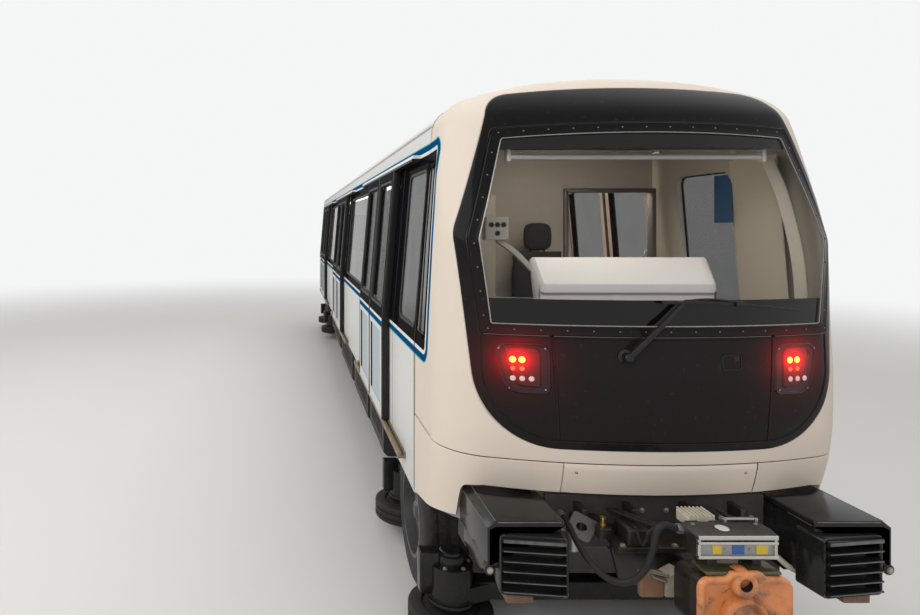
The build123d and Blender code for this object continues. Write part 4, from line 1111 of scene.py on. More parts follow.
def anticlimbers():
    """Right and left: a hood folded down at its outer edge, a box, a keel, and a framed ribbed block turned outward."""
    hood = slab(rounded(((0.56, 1.12), (0.56, 1.15), (0.872, 1.15), (0.91, 1.12), (0.91, 0.944), (0.896, 0.944),
        (0.896, 1.108), (0.872, 1.12)), (0.004, 0.008, 0.01, 0.01, 0.004, 0.004, 0.006, 0.006), 4), at(-0.158),
        at(0.3), "y", 0.005)
    body = slab(rounded(((0.572, at(0.3)), (0.572, at(-0.146)), (0.87, at(-0.146)), (0.892, at(-0.13)),
        (0.892, at(0.3))), 0.006, 4), 0.93, 1.112, "z", 0.004)
    cheek = box(0.85, 0.908, -0.156, -0.12, 0.946, 1.122, 0.005)
    lug = lathe(((0, 0), (0, 0.024), (-0.04, 0.024), (-0.044, 0.02), (-0.044, 0)), (0.9, at(-0.116), 0.93), "y", 24)
    keel = slab(((at(0.296), 0.826), (at(0.296), 0.936), (at(-0.14), 0.936), (at(0.035), 0.826)),
        0.575, 0.89, "x", 0.004)
    rim = rectangle(-0.15, 0.15, 0.824, 1.096, 0.022, 8)
    loops = stepped(rim, (0, 0.118), (0, -0.01), (0.003, -0.015), (0.01, -0.016), (0.013, -0.013), (0.014, 0.012))
    block = Form().grid([stood(flat, y - NOSE) for flat, y in loops], close_columns=True)
    block.add(slab(inset(rim, 0.004), 0.01, 0.118, "y", 0.002))
    noses = Form()
    for z in RIB_LOW + RIB_PITCH * np.arange(5):
        rib = rounded(((-0.034, z + 0.002), (0.014, z), (0.014, z + 0.014), (-0.034, z + 0.009)), 0.003, 4)
        block.add(slab(rib, -0.138, 0.138, "x", 0.002))
        nose = rectangle(-0.0362, -0.033, z + 0.0035, z + 0.008, 0.001, 3)
        noses.add(slab(nose, -0.134, 0.134, "x", 0.0008))
    block.add(slab(rounded(((-0.034, 1.064), (0.014, 1.062), (0.014, 1.09), (-0.034, 1.084)), 0.004, 4),
        -0.138, 0.138, "x", 0.002))
    noses.add(slab(rectangle(-0.0362, -0.033, 1.068, 1.081, 0.001), -0.134, 0.134, "x", 0.0008))
    for form in (block, noses):
        form.turned("z", CLIMBER_TURN).moved(CLIMBER_X, at(CLIMBER_FACE), 0)
    whole = hood.add(body, cheek, lug, keel, block)
    piece("anticlimber_housings", whole.both(), bumper, stands_for="anticlimbers")
    # Painted highlights: thin grey strips on the rib noses, the hood's lips and the block's rim.
    highlight_strips = box(0.575, 0.862, -0.1605, -0.157, 1.142, 1.1465, 0.001)
    highlight_strips.add(box(0.5585, 0.5615, -0.146, -0.01, 1.122, 1.1255, 0.001))
    for x, z, radius in ((0.8725, 1.1495, 0.0018), (0.9095, 1.12, 0.0016)):
        highlight_strips.add(tube(route((x, -0.152, z), (x, 0.28, z)), radius, 6))
    edge = rectangle(-0.1465, 0.1465, 0.8275, 1.0925, 0.02, 8)
    rim_line = (tube(stood(edge, -0.0155 - NOSE)[:-1], 0.0013, 5)
        .turned("z", CLIMBER_TURN).moved(CLIMBER_X, at(CLIMBER_FACE), 0))
    piece("anticlimber_painted_highlights", noses.add(highlight_strips, rim_line).both(), edge_highlight)
    piece("anticlimber_lug_bolts", bolt((0.9, at(-0.16), 0.93), "y", 0.011, 0.008, -1).both(), zinc)
    stop = box(0.7, 0.822, -0.15, -0.05, 0.775, 0.828, 0.005)
    piece("anticlimber_stop_blocks", stop.both(), brown_bar)


# ---- coupler ----

# Places behind the nose of the coupler's face and the contact box's face
HEAD_FACE, CONTACT_FACE = -0.51, -0.45
BORE_Z, DRAWBAR_Z = 1.061, 0.86
# Place of the rear coupling eye behind the nose, and the radius of its bore
REAR_EYE, REAR_BORE = 12.89, 0.0305


def coupler():
    """Casting face as rings from its rim into a smooth dish, a bored boss under a hump, and a dark ribbed neck."""
    rim = rounded(((-0.186, 0.757), (0.186, 0.757), (0.186, 1.09), (0.086, 1.092), (0.064, 1.112), (-0.056, 1.112),
        (-0.078, 1.092), (-0.186, 1.09)), (0.055, 0.055, 0.045, 0.03, 0.025, 0.025, 0.03, 0.045), 8)
    centre = np.array((0.0, 0.915))
    drawn = lambda *steps: [stood(flat, HEAD_FACE + y) for flat, y in stepped(rim, *steps)]
    loops = drawn((0.0, 0.022), (0.0, 0.01), (0.003, 0.003), (0.007, 0.0), (0.014, 0.0), (0.02, 0.004))
    loops += [stood(centre + (rim - centre) * share, HEAD_FACE + (0.008 + 0.052 * (1 - (share / 0.88) ** 2)))
        for share in (0.86, 0.78, 0.66, 0.5, 0.3, 0.15)]
    head = Form().grid(loops, close_columns=True).cap(loops[-1])
    head.grid(drawn((0.0, 0.022), (0.012, 0.024)), close_columns=True)
    boss = lathe(((0.06, 0.0), (0.06, 0.056), (0.012, 0.052), (0.002, 0.047), (-0.002, 0.041), (-0.002, 0.033),
        (0.002, 0.03), (0.003, 0.0255), (0.05, 0.025), (0.05, 0.0)), (0, at(HEAD_FACE), BORE_Z), "y", 40)
    seat = lathe(((0.05, 0.0), (0.05, 0.098), (0.026, 0.092), (0.016, 0.082), (0.016, 0.074), (0.024, 0.066),
        (0.044, 0.05), (0.044, 0.0)), (0.02, at(HEAD_FACE), 0.905), "y", 48)
    piece("coupler_casting", head.add(boss, seat), casting, stands_for="coupler_head", angle=45)
    # Painted shade with grease: a black liner and end disc inside the bore darken the deep hole.
    liner = lathe(((0.004, 0.0252), (0.004, 0.0246), (0.048, 0.0246), (0.048, 0.0)),
        (0, at(HEAD_FACE), BORE_Z), "y", 32)
    piece("coupler_bore_shade_and_grease", liner, rubber)
    neck = slab(rectangle(-0.13, 0.13, 0.8, 1.03, 0.045), at(HEAD_FACE + 0.072), at(HEAD_FACE + 0.26), "y", 0.006)
    for x in (-0.095, 0.085):
        neck.add(slab(((at(HEAD_FACE + 0.074), 1.026), (at(HEAD_FACE + 0.074), 1.078), (at(HEAD_FACE + 0.09), 1.078),
            (at(HEAD_FACE + 0.2), 1.026)), x, x + 0.014, "x", 0.003))
    collar = drawn((0.01, 0.018), (0.01, 0.078), (0.014, 0.082))
    neck.add(Form().grid(collar, close_columns=True).cap(collar[-1]))
    piece("coupler_neck", neck, oily_shaded_black)
    band = slab(rectangle(-0.15, 0.15, 1.094, 1.108, 0.005), at(HEAD_FACE + 0.016), at(HEAD_FACE + 0.11), "y", 0.004)
    piece("coupler_grease_band", band, grease)


def electric_head():
    """Lidded contact box: three bright rails, blank colour plates between them, brackets and a junction block."""
    face = CONTACT_FACE
    body = box(-0.158, 0.158, face, face + 0.1, 1.138, 1.226, 0.005)
    lid = slab(rounded(((at(face - 0.004), 1.226), (at(face - 0.004), 1.236), (at(face + 0.03), 1.244),
        (at(face + 0.104), 1.24), (at(face + 0.104), 1.226)), 0.003, 3), -0.163, 0.163, "x", 0.004)
    cheeks = boxes(*((x, x + 0.04, face + 0.01, face + 0.095, 1.032, 1.14, 0.004) for x in (-0.11, 0.07)))
    hinges = Form()
    for x in (-0.12, -0.02, 0.09):
        hinges.add(lathe(((0, 0), (0, 0.012), (0.05, 0.012), (0.05, 0)), (x - 0.02, at(face + 0.1), 1.232), "x", 16))
    piece("electric_head_lid", lid, dusty_black)
    piece("electric_head_case", body.add(cheeks, hinges), oily_shaded_black, stands_for="electric_head")
    rails = Form()
    for z, radius in ((1.148, 0.0066), (1.205, 0.006), (1.227, 0.0088)):
        path = route((-0.16, face - 0.008, z), (0.16, face - 0.008, z))
        rails.add(carried(rectangle(-0.007, 0.006, -radius, radius, 0.003, 4), path))
    rails.add(*(box(x, x + 0.012, face - 0.01, face + 0.004, 1.145, 1.232, 0.002) for x in (-0.16, 0.148)))
    piece("electric_head_rails", rails, aluminium)
    backing = box(-0.15, 0.15, face - 0.004, face + 0.002, 1.15, 1.204, 0.002)
    piece("electric_head_face", backing, silver_face)
    for name, material, x0, x1 in (("left_yellow", yellow_plate, -0.1, -0.064), ("blue", blue_plate, -0.02, 0.028),
            ("right_yellow", yellow_plate, 0.076, 0.124)):
        plate = box(x0, x1, face - 0.007, face - 0.003, 1.159, 1.197, 0.0015)
        piece(f"{name}_blank_plate", plate, material)
    disc_form = lathe(((0, 0), (0, 0.026), (0.002, 0.024), (0.002, 0)), (-0.03, at(face + 0.04), 1.2425), "z", 30)
    piece("lid_blank_disc", disc_form, white_plate)
    junction = box(-0.125, -0.002, face + 0.103, face + 0.195, 1.152, 1.214, 0.006)
    piece("junction_block", junction, oily_shaded_black)
    ribbed = box(-0.128, -0.01, face + 0.108, face + 0.19, 1.212, 1.256, 0.006)
    ribbed.add(*(box(x - 0.004, x + 0.004, face + 0.104, face + 0.192, 1.216, 1.264, 0.002)
        for x in np.linspace(-0.12, -0.018, 7)))
    piece("junction_cover", ribbed, cream_strut)
    fittings = Form()
    for x, z in ((-0.152, 1.176), (0.152, 1.176), (-0.047, 1.178), (0.052, 1.178)):
        fittings.add(bolt((x, at(face - 0.004), z), "y", 0.0055, 0.004, -1))
    for x in (-0.13, 0.13):
        fittings.add(bolt((x, at(face + 0.07), 1.2435), "z", 0.007, 0.006))
    piece("electric_head_bolts", fittings, zinc)
    lines = Form()
    for z, back in ((1.252, 0.098), (1.246, 0.116)):
        lines.add(tube(route((0.01, face + back, z), (0.158, face + back, z)), 0.0055, 10))
    for x in (0.02, 0.148):
        lines.add(box(x - 0.006, x + 0.006, face + 0.088, face + 0.124, 1.222, 1.256, 0.002))
    piece("electric_head_air_lines", lines, zinc)


def drawgear():
    """Round drawbar with collars and a rear eye that is bored upright."""
    z, start, end, middle = DRAWBAR_Z, at(HEAD_FACE + 0.255), at(0.302), (0.0, at(REAR_EYE))
    run = end - start
    bar = lathe(((0, 0), (0, 0.075), (0.05, 0.075), (0.055, 0.062), (0.16, 0.062), (0.165, 0.075), (0.21, 0.075),
        (0.215, 0.055), (run - 0.06, 0.055), (run - 0.055, 0.075), (run, 0.075), (run, 0)), (0, start, z), "y", 40)
    outer = rectangle(-0.075, 0.075, at(12.74), at(12.95), (0.004, 0.004, 0.07, 0.07), 12)
    angles = angles_of(outer, centre=middle, spread=48)
    hole = np.column_stack((REAR_BORE * np.cos(angles), at(REAR_EYE) + REAR_BORE * np.sin(angles)))
    edge = by_angle(outer, angles, middle)
    loops = ((hole, -0.045), (edge, -0.045), (edge, 0.045), (hole, 0.045), (hole, -0.045))
    bar.add(Form().grid([laid(flat, z + up) for flat, up in loops], close_columns=True))
    piece("drawbar_and_eye", bar, oily_shaded_black, stands_for="drawgear")


def coupler_surroundings():
    """Brackets, a valve, bars, plates and small pipes between the headstock and the coupler."""
    bright, cream, pipes = Form(), Form(), Form()
    steel = boxes((-0.53, 0.53, 0.116, 0.15, 1.005, 1.15, 0.005),
        *((x, x + 0.03, 0.02, 0.12, 1.02, 1.12, 0.004) for x in (-0.4, -0.16, 0.12, 0.36)),
        (-0.3, 0.3, -0.12, 0.118, 0.985, 1.01, 0.005),
        (0.19, 0.33, -0.16, 0.04, 1.008, 1.09, 0.006), (-0.25, -0.14, -0.11, 0.02, 1.008, 1.084, 0.008))
    steel.add(slab(rounded(((-0.3, 0.985), (0.3, 0.985), (0.25, 0.8), (-0.25, 0.8)), 0.02, 6), at(-0.05), at(-0.02),
        "y", 0.004))
    brown = box(-0.272, -0.168, -0.25, -0.215, 0.86, 0.968, 0.008)
    pale = slab(rounded(((-0.168, 0.86), (-0.062, 0.86), (-0.066, 0.958), (-0.11, 0.976), (-0.16, 0.95)), 0.012, 6),
        at(-0.25), at(-0.18), "y", 0.008)
    for x0, x1, z in ((-0.236, -0.16, 0.972), (-0.228, -0.166, 0.95)):
        bright.add(tube(route((x0, -0.262, z + 0.012), (x1, -0.262, z - 0.01)), 0.007, 10))
    plate = rectangle(-0.065, 0.065, -0.055, 0.055, 0.016, 8)
    hole = disc(0.022, 24) * (1.3, 0.9)
    angles = angles_of(plate, centre=(0.0, 0.0), spread=48)
    edge, eye = by_angle(plate, angles, (0.0, 0.0)), by_angle(hole, angles, (0.0, 0.0))
    loops = ((eye, 0.006), (edge, 0.006), (edge, 0.0), (eye, 0.0), (eye, 0.006))
    slanted = Form().grid([stood(flat, y - NOSE) for flat, y in loops], close_columns=True)
    slanted.turned("y", 28).moved(-0.412, at(0.0), 1.048)
    steel.add(box(-0.42, -0.404, 0.004, 0.12, 1.02, 1.07, 0.003))
    gold = lathe(((0, 0), (0, 0.013), (0.012, 0.013), (0.014, 0.009), (0.034, 0.009), (0.036, 0.012), (0.046, 0.012),
        (0.046, 0)), (-0.322, at(-0.02), 1.06), "z", 16)
    steel.add(box(-0.35, -0.29, -0.05, 0.118, 1.008, 1.062, 0.005))
    bright.add(lathe(((0, 0), (0, 0.022), (0.004, 0.026), (0.07, 0.026), (0.074, 0.022), (0.09, 0.016), (0.09, 0)),
        (-0.478, at(-0.05), 0.965), "z", 24))
    for x in (-0.36, -0.06, 0.06, 0.24, 0.42):
        bright.add(bolt((x, at(0.117), 1.075), "y", 0.01, 0.01, -1))
    for x in (-0.27, -0.03, 0.09, 0.26):
        bright.add(bolt((x, at(-0.1), 1.01), "z", 0.011, 0.01))
    for side in (-1, 1):
        cream.add(tube(route((side * 0.5, 0.06, 0.93), (side * 0.56, -0.01, 0.868), (side * 0.7, -0.06, 0.79)),
            0.013, 14))
    for shift in (0.0, 0.035):
        pipes.add(tube(eased(route((0.16 + shift, 0.1, 1.1), (0.2 + shift, -0.02, 1.13), (0.22 + shift, -0.16, 1.1),
            (0.18 + shift, -0.28, 1.12), (0.12 + shift * 0.5, -0.35, 1.16)), 8), 0.009, 10))
        pipes.add(tube(eased(route((-0.2 - shift, 0.1, 1.09), (-0.16 - shift, -0.05, 1.11),
            (-0.13 - shift, -0.18, 1.14), (-0.09 - shift * 0.5, -0.26, 1.18)), 8), 0.008, 10))
    pipes.add(tube(eased(route((-0.15, -0.33, 1.2), (-0.205, -0.32, 1.212), (-0.262, -0.3, 1.176),
        (-0.262, -0.27, 1.12), (-0.23, -0.18, 1.06), (-0.2, -0.08, 1.086)), 8), 0.0062, 10))
    piece("coupler_brackets", steel, oily_shaded_black)
    piece("coupler_guide_bars", brown, brown_bar)
    piece("coupler_support_casting", pale, pale_cast)
    piece("coupler_valve", gold, brass)
    piece("coupler_fittings", bright, zinc)
    piece("coupler_hanger_plate", slanted, dull_trim)
    piece("coupler_struts", cream, cream_strut)
    piece("coupler_pipes", pipes, rubber)


# ---- sides ----


def side_face(flat, out=0.0):
    """(y, z) points laid on the left side of the body, moved outwards by out."""
    y, z = flat[..., 0], flat[..., 1]
    return np.stack((half_width(z) + out, y, z), -1)


def side_ring(outlines, face):
    """Closed rings of (y, z) outline and height joined on a side face."""
    rows = [face(outline, out) for outline, out in outlines]
    rows = [np.concatenate((row, row[:1])) for row in rows]
    return Form().grid(rows)


def window_surround(y0, y1, z0, z1, face, radius=0.06):
    """Rubber seal round a window: flush outer edge, raised bead and a lip on the pane."""
    hole = rectangle(y0, y1, z0, z1, radius, 8)
    return side_ring(stepped(hole, (-0.016, -0.002), (-0.014, 0.003), (-0.006, 0.005), (0.004, 0.003),
        (0.008, -0.006), (0.008, -0.016)), face)


# Columns: start and end of each window, behind the nose
SIDE_WINDOWS = ((0.88, 1.4), (3.56, 5.43), (7.51, 9.38), (11.33, 12.48))
SEAM_PLACES = (1.64, 3.4, 5.6, 7.34, 9.55, 11.3)


def side_details():
    """Seals round the side windows, a gutter along each eave, and the upright joints between the side panels."""
    seals, seams = Form(), Form()
    for start, end in SIDE_WINDOWS:
        seals.add(window_surround(at(start), at(end), WINDOW_LOW, WINDOW_HIGH, side_face))
    piece("window_seals", seals.both(), rubber)
    profile = rounded(((-0.004, -0.006), (0.01, -0.004), (0.014, 0.006), (-0.004, 0.01)), 0.002, 3)
    eave_x, eave_z = eave_centre()
    x, z = eave_x + (EAVE_RADIUS + 0.002) * math.cos(0.35), eave_z + (EAVE_RADIUS + 0.002) * math.sin(0.35)
    gutters = carried(profile[::-1], route((x, 0.86, z), (x, 6.0, z), (x, 12.74, z)))
    piece("roof_gutters", gutters.both(), white)
    for d in SEAM_PLACES:
        flat = divided(((at(d), 0.95), (at(d), WAIST), (at(d), 2.9)), 8)
        seams.add(Form().grid([side_face(flat + (dy, 0), out)
            for dy, out in ((-0.003, 0.0004), (-0.0012, 0.0012), (0.0012, 0.0012), (0.003, 0.0004))]))
    piece("side_panel_seams", seams.both(), rubber)


def leaf_face(flat, out=0.0):
    """(y, z) points laid on the outer face of the left leaves."""
    return side_face(flat, LEAF_PROUD + out)


def leaf_dressing(start, meets_at_end):
    """Seals, raised borders and finger rubber of one leaf, from its front edge's place."""
    end = start + LEAF_WIDTH
    rubber_form = window_surround(at(start + 0.07), at(end - 0.07), WINDOW_LOW, WINDOW_HIGH, leaf_face, 0.05)
    border = rectangle(at(start + 0.088), at(end - 0.088), 1.088, 1.662, 0.01, 4)
    frame_ring = side_ring(stepped(border, (-0.018, 0.0), (-0.016, 0.004), (-0.004, 0.004), (0, 0.002),
        (0.002, -0.011)), leaf_face)
    edge = at(end) if meets_at_end else at(start)
    back = at(start) if meets_at_end else at(end)
    for y, reach in ((edge, 0.0035), (back, 0.003)):
        inward = -1 if y == at(end) else 1
        profile = [(inward * 0.02, 0.0005), (inward * 0.018, 0.003), (inward * 0.004, 0.003),
            (-inward * reach, -0.006), (-inward * reach, -0.042), (inward * 0.004, -0.0535), (inward * 0.02, -0.051)]
        z = np.array((LEAF_LOW + 0.004, WAIST, LEAF_HIGH - 0.004))
        rubber_form.add(Form().grid([[(float(half_width(level)) + LEAF_PROUD + out, y + dy, level) for level in z]
            for dy, out in profile]))
    return rubber_form, frame_ring


def doors():
    """Rubbers and the raised lower border of each of the twelve leaves, on the leaf's own body."""
    for k in range(DOOR_COUNT):
        for place, offset, meets_at_end in (("front", 0.0, True), ("rear", LEAF_WIDTH + LEAF_GAP, False)):
            for side in SIDES:
                body = f"door_{k + 1}_{place}_{side}"
                dressing = leaf_dressing(DOOR_FRONT + k * DOOR_PITCH + offset, meets_at_end)
                for form, suffix, material, slot in zip(dressing, ("rubbers", "panel_border"), (rubber, white),
                        ("black_rubber", "door_paint")):
                    piece(f"{body}_{suffix}", form.flipped() if side == "right" else form, material, body)


def door_track_details():
    """Bolts along the lower guide rails."""
    heads = Form()
    for k in range(DOOR_COUNT):
        start = DOOR_FRONT + k * DOOR_PITCH - 0.65
        for d in np.linspace(start + 0.06, start + 2.74, 12):
            heads.add(lathe(((0, 0), (0, 0.008), (0.0035, 0.006), (0.0035, 0)), (1.0895, at(d), 0.975), "x", 6))
    piece("door_rail_bolts", heads.both(), zinc)


def rear_face(flat, out=0.0):
    """(x, z) points laid on the rear wall, moved backwards by out."""
    return np.stack((flat[..., 0], np.full(flat.shape[:-1], at(BODY_LENGTH) + out), flat[..., 1]), -1)


def rear_end():
    """Rear wall: seals round its window, door line and edge, hinges, a lever, hand rails, tail lamps and sockets."""
    edge = mirrored_run(section_side(1.0))
    door = rectangle(-0.47, 0.47, 1.05, 2.86, 0.09, 8)
    seals = window_surround(-0.38, 0.38, WINDOW_LOW, 2.76, rear_face)
    seals.add(side_ring(stepped(door, (-0.012, -0.002), (-0.01, 0.006), (-0.003, 0.009), (0.003, 0.009),
        (0.006, -0.002)), rear_face))
    seals.add(side_ring(stepped(edge, (0.01, -0.002), (0.012, 0.01), (0.02, 0.016), (0.038, 0.016), (0.046, 0.01),
        (0.048, -0.002)), rear_face))
    piece("rear_end_seals", seals, rubber)
    skin = at(BODY_LENGTH)
    fittings, rails, lamps, lenses = Form(), Form(), Form(), Form()
    for z in (1.3, 1.955, 2.62):
        fittings.add(lathe(((-0.055, 0), (-0.055, 0.013), (-0.004, 0.013), (0, 0.01), (0.004, 0.013), (0.055, 0.013),
            (0.055, 0)), (-0.492, skin + 0.012, z), "z", 20))
        fittings.add(box(-0.56, -0.5, BODY_LENGTH - 0.002, BODY_LENGTH + 0.007, z - 0.045, z + 0.045, 0.002))
    fittings.add(lathe(((0, 0), (0, 0.03), (0.008, 0.03), (0.012, 0.016), (0.036, 0.014), (0.036, 0)),
        (0.42, skin, 1.72), "y", 28))
    fittings.add(slab(rectangle(0.405, 0.435, 1.702, 1.845, 0.013, 5), skin + 0.03, skin + 0.044, "y", 0.004))
    for side in (-1, 1):
        x = side * 0.66
        rails.add(tube(eased([(x, skin + out, z) for out, z in ((-0.004, 1.4), (0.04, 1.415), (0.06, 1.47),
            (0.06, 1.9), (0.06, 2.33), (0.04, 2.385), (-0.004, 2.4))], 7), 0.014, 14))
        for z in (1.39, 2.4):
            rails.add(lathe(((0, 0), (0, 0.03), (0.006, 0.028), (0.009, 0.02), (0.009, 0)), (x, skin, z + 0.005),
                "y", 20))
        for z in (1.56, 1.69):
            lamps.add(lathe(((-0.002, 0), (-0.002, 0.058), (0.012, 0.056), (0.018, 0.05), (0.016, 0.044),
                (0.006, 0.042), (0.006, 0)), (side * 0.83, skin, z), "y", 36))
            lenses.add(lathe(((0.004, 0.0425), (0.01, 0.0415), (0.016, 0.036), (0.02, 0.024), (0.022, 0.01),
                (0.0222, 0)), (side * 0.83, skin, z), "y", 32))
        lamps.add(box(side * 0.6 - 0.085, side * 0.6 + 0.085, BODY_LENGTH - 0.002, BODY_LENGTH + 0.03, 1.11, 1.245,
            0.006))
        for x in (side * 0.6 - 0.04, side * 0.6 + 0.04):
            lamps.add(lathe(((0.028, 0), (0.028, 0.034), (0.044, 0.034), (0.05, 0.03), (0.052, 0.012), (0.06, 0.01),
                (0.06, 0)), (x, skin, 1.178), "y", 24))
    piece("rear_door_fittings", fittings, dull_trim)
    piece("rear_hand_rails", rails, pole_steel)
    piece("tail_lamp_housings", lamps, bumper)
    piece("tail_lamp_lenses", lenses, tail_lens)


# ---- running gear ----

NUTS, NUT_CIRCLE, HOUSING_BOLTS = 10, 0.1, 0.105
TYRE_STEPS, TREAD_BLOCKS, TREAD_DEPTH = 240, 40, 0.008


def tread_tyre(centre):
    """Tyre on a grid of angle round the axle and place across: a carcass profile with blocks cut into the tread."""
    half = TYRE_WIDTH / 2
    profile = np.array(((-half + 0.006, RIM_RADIUS - 0.012), (-half - 0.001, 0.318), (-half - 0.001, 0.35),
        (-half, 0.385), (-half, 0.42), (-half + 0.008, 0.45), (-half + 0.02, 0.47), (-half + 0.036, 0.4835),
        (-half + 0.045, 0.4885), (-0.075, 0.4896), (-0.071, 0.4896), (-0.07, 0.48), (-0.062, 0.48), (-0.061, 0.4898),
        (-0.04, 0.49), (-0.012, 0.49), (-0.011, 0.48), (0.0, 0.48)))
    profile = np.concatenate((profile, profile[-2::-1] * (-1, 1)))
    angle = round_angles(TYRE_STEPS)
    along, radius = np.repeat(profile[:, :1], TYRE_STEPS, 1), np.repeat(profile[:, 1:], TYRE_STEPS, 1)
    slant = np.where(np.abs(along) > 0.066, 3.0, -3.0) * along
    block = ((angle[None] + slant) * TREAD_BLOCKS / (2 * math.pi)) % 1.0
    tread = radius > 0.4825
    radius = radius - TREAD_DEPTH * tread * (block > 0.8)
    ribs = (np.abs(along) > half - 0.003) & (radius > 0.35) & (radius < 0.45)
    radius = radius - 0.001 * ribs * (np.floor(angle[None] * 60 / math.pi) % 2)
    points = np.stack((along, radius * np.cos(angle), radius * np.sin(angle)), -1) + centre
    return Form().grid(points, close_columns=True)


def wheel_nuts(x, centre):
    """Ring of nuts round the hub, on the side of the wheel that x points to."""
    form = Form()
    for a in np.arange(NUTS) * 2 * math.pi / NUTS:
        place = (centre[0] + x, centre[1] + NUT_CIRCLE * math.cos(a), centre[2] + NUT_CIRCLE * math.sin(a))
        form.add(bolt(place, "x", 0.013, 0.02, math.copysign(1, x)))
    return form


def guide_tyre(centre):
    """Flat-lying guide wheel: grooved solid tyre on a dished hub with a raised cap ring."""
    w, r = GUIDE_WIDTH / 2, GUIDE_RADIUS
    profile = ((-w, 0.032), (-w, 0.15), (-w + 0.012, 0.152), (-w + 0.012, 0.165), (-w, 0.168), (-w, r - 0.014),
        (-w + 0.004, r - 0.005), (-w + 0.014, r), (-0.03, r), (-0.028, r - 0.008), (-0.018, r - 0.008), (-0.016, r),
        (0.016, r), (0.018, r - 0.008), (0.028, r - 0.008), (0.03, r), (w - 0.014, r), (w - 0.004, r - 0.005),
        (w, r - 0.014), (w, 0.168), (w - 0.012, 0.165), (w - 0.012, 0.152), (w, 0.15), (w, 0.032))
    return lathe(profile, centre, "z", 72)


def running_gear():
    """Tyres, nuts, hub caps and guide wheels, each on its own body, with the bolts and hub housings of each axle."""
    for end, d in AXLES.items():
        caps, collars = Form(), Form()
        for side, s in SIDES.items():
            centre = np.array((s * TRACK_HALF, at(d), TYRE_RADIUS))
            body = f"{end}_wheel_{side}"
            piece(f"{end}_tyre_tread_{side}", tread_tyre(centre), tyre_rubber, body,
                f"{end}_tyre_{side}", 40)
            piece(f"{end}_wheel_nuts_{side}", wheel_nuts(s * 0.062, centre), dusty_black, body)
            cap = lathe(((0.09 * s, 0), (0.09 * s, 0.075), (0.1 * s, 0.07), (0.12 * s, 0.045), (0.122 * s, 0)),
                centre, "x", 32)
            piece(f"{end}_hub_cap_{side}", cap, rim_paint, body=body)
            for place, off in (("leading", -GUIDE_REACH), ("trailing", GUIDE_REACH)):
                x, y = s * GUIDE_X, at(d + off)
                guide = f"{end}_{place}_guide"
                piece(f"{guide}_tyre_{side}", guide_tyre((x, y, GUIDE_Z)), tyre_rubber,
                    f"{guide}_{side}", f"{guide}_wheel_{side}")
                for a in np.arange(6) * math.pi / 3:
                    turn = (x + HOUSING_BOLTS * math.cos(a), y + HOUSING_BOLTS * math.sin(a), 0.511)
                    caps.add(bolt(turn, "z", 0.011, 0.01))
                collars.add(lathe(((0, 0.118), (0.012, 0.122), (0.014, 0.13), (0.012, 0.138), (0, 0.14)),
                    (x, y, 0.3), "z", 40))
                outer, inner = sorted((s * 0.93, s * 1.046))
                collars.add(slab(rectangle(outer, inner, y - 0.055, y + 0.035, 0.012, 5), 0.345, 0.585, "z", 0.008))
                collars.add(lathe(((0.505, 0), (0.505, 0.09), (0.512, 0.086), (0.54, 0.07), (0.575, 0.062),
                    (0.58, 0.055), (0.58, 0)), (x, y, 0), "z", 32))
        piece(f"{end}_guide_arm_bolts", caps, zinc, body=f"{end}_axle")
        piece(f"{end}_guide_hub_housings", collars, bumper, f"{end}_axle")


# ---- cab and saloon ----


def console():
    """Hood over the driving desk: its rounded side profile carried across, the rear edge longer than the front."""
    outline = rounded(((0.378, 1.004), (0.378, 2.11), (0.354, 2.124), (0.352, 2.172), (0.515, 2.304), (0.56, 2.304),
        (0.56, 2.24), (0.5, 2.08), (0.47, 1.85), (0.47, 1.004)), (0.003, 0.012, 0.006, 0.012, 0.014, 0.012, 0.02,
        0.02, 0.02, 0.003), 6)
    share = np.concatenate(([0.0, 0.002, 0.008, 0.02], np.linspace(0.06, 0.94, 12), [0.98, 0.992, 0.998, 1.0]))
    draw = 0.022 * (1 - np.sin(np.clip(np.minimum(share, 1 - share) / 0.02, 0, 1) * math.pi / 2))
    rows = []
    for s, amount in zip(share, draw):
        drawn = inset(outline, amount)
        left = np.interp(drawn[:, 0], (0.35, 0.565), (-0.464, -0.45))
        right = np.interp(drawn[:, 0], (0.35, 0.565), (0.478, 0.552))
        rows.append(np.column_stack((left + (right - left) * s, at(drawn[:, 0]), drawn[:, 1])))
    form = Form().grid(rows, close_columns=True).cap(rows[0]).cap(rows[-1])
    piece("console_hood", form, console_skin, stands_for="console")
    panel = box(-0.72, -0.592, 0.47, 0.545, 2.402, 2.53, 0.006)
    panel.add(carried(rectangle(-0.015, 0.015, -0.015, 0.015, 0.004, 3),
        eased(route((-0.45, 0.52, 2.24), (-0.54, 0.52, 2.33), (-0.64, 0.52, 2.405)), 6), (0, 1, 0)))
    piece("gauge_panel", panel, lining)
    dials, rims = Form(), Form()
    for x, z in ((-0.69, 2.487), (-0.656, 2.487), (-0.622, 2.487), (-0.656, 2.44)):
        dials.add(lathe(((0, 0), (0, 0.0125), (-0.003, 0.0125), (-0.003, 0)), (x, at(0.47), z), "y", 20))
        rims.add(lathe(((0, 0.012), (-0.005, 0.0125), (-0.005, 0.0155), (0, 0.016)), (x, at(0.47), z), "y", 20))
    piece("gauge_dials", dials, rubber)
    piece("gauge_rims", rims, dull_trim)


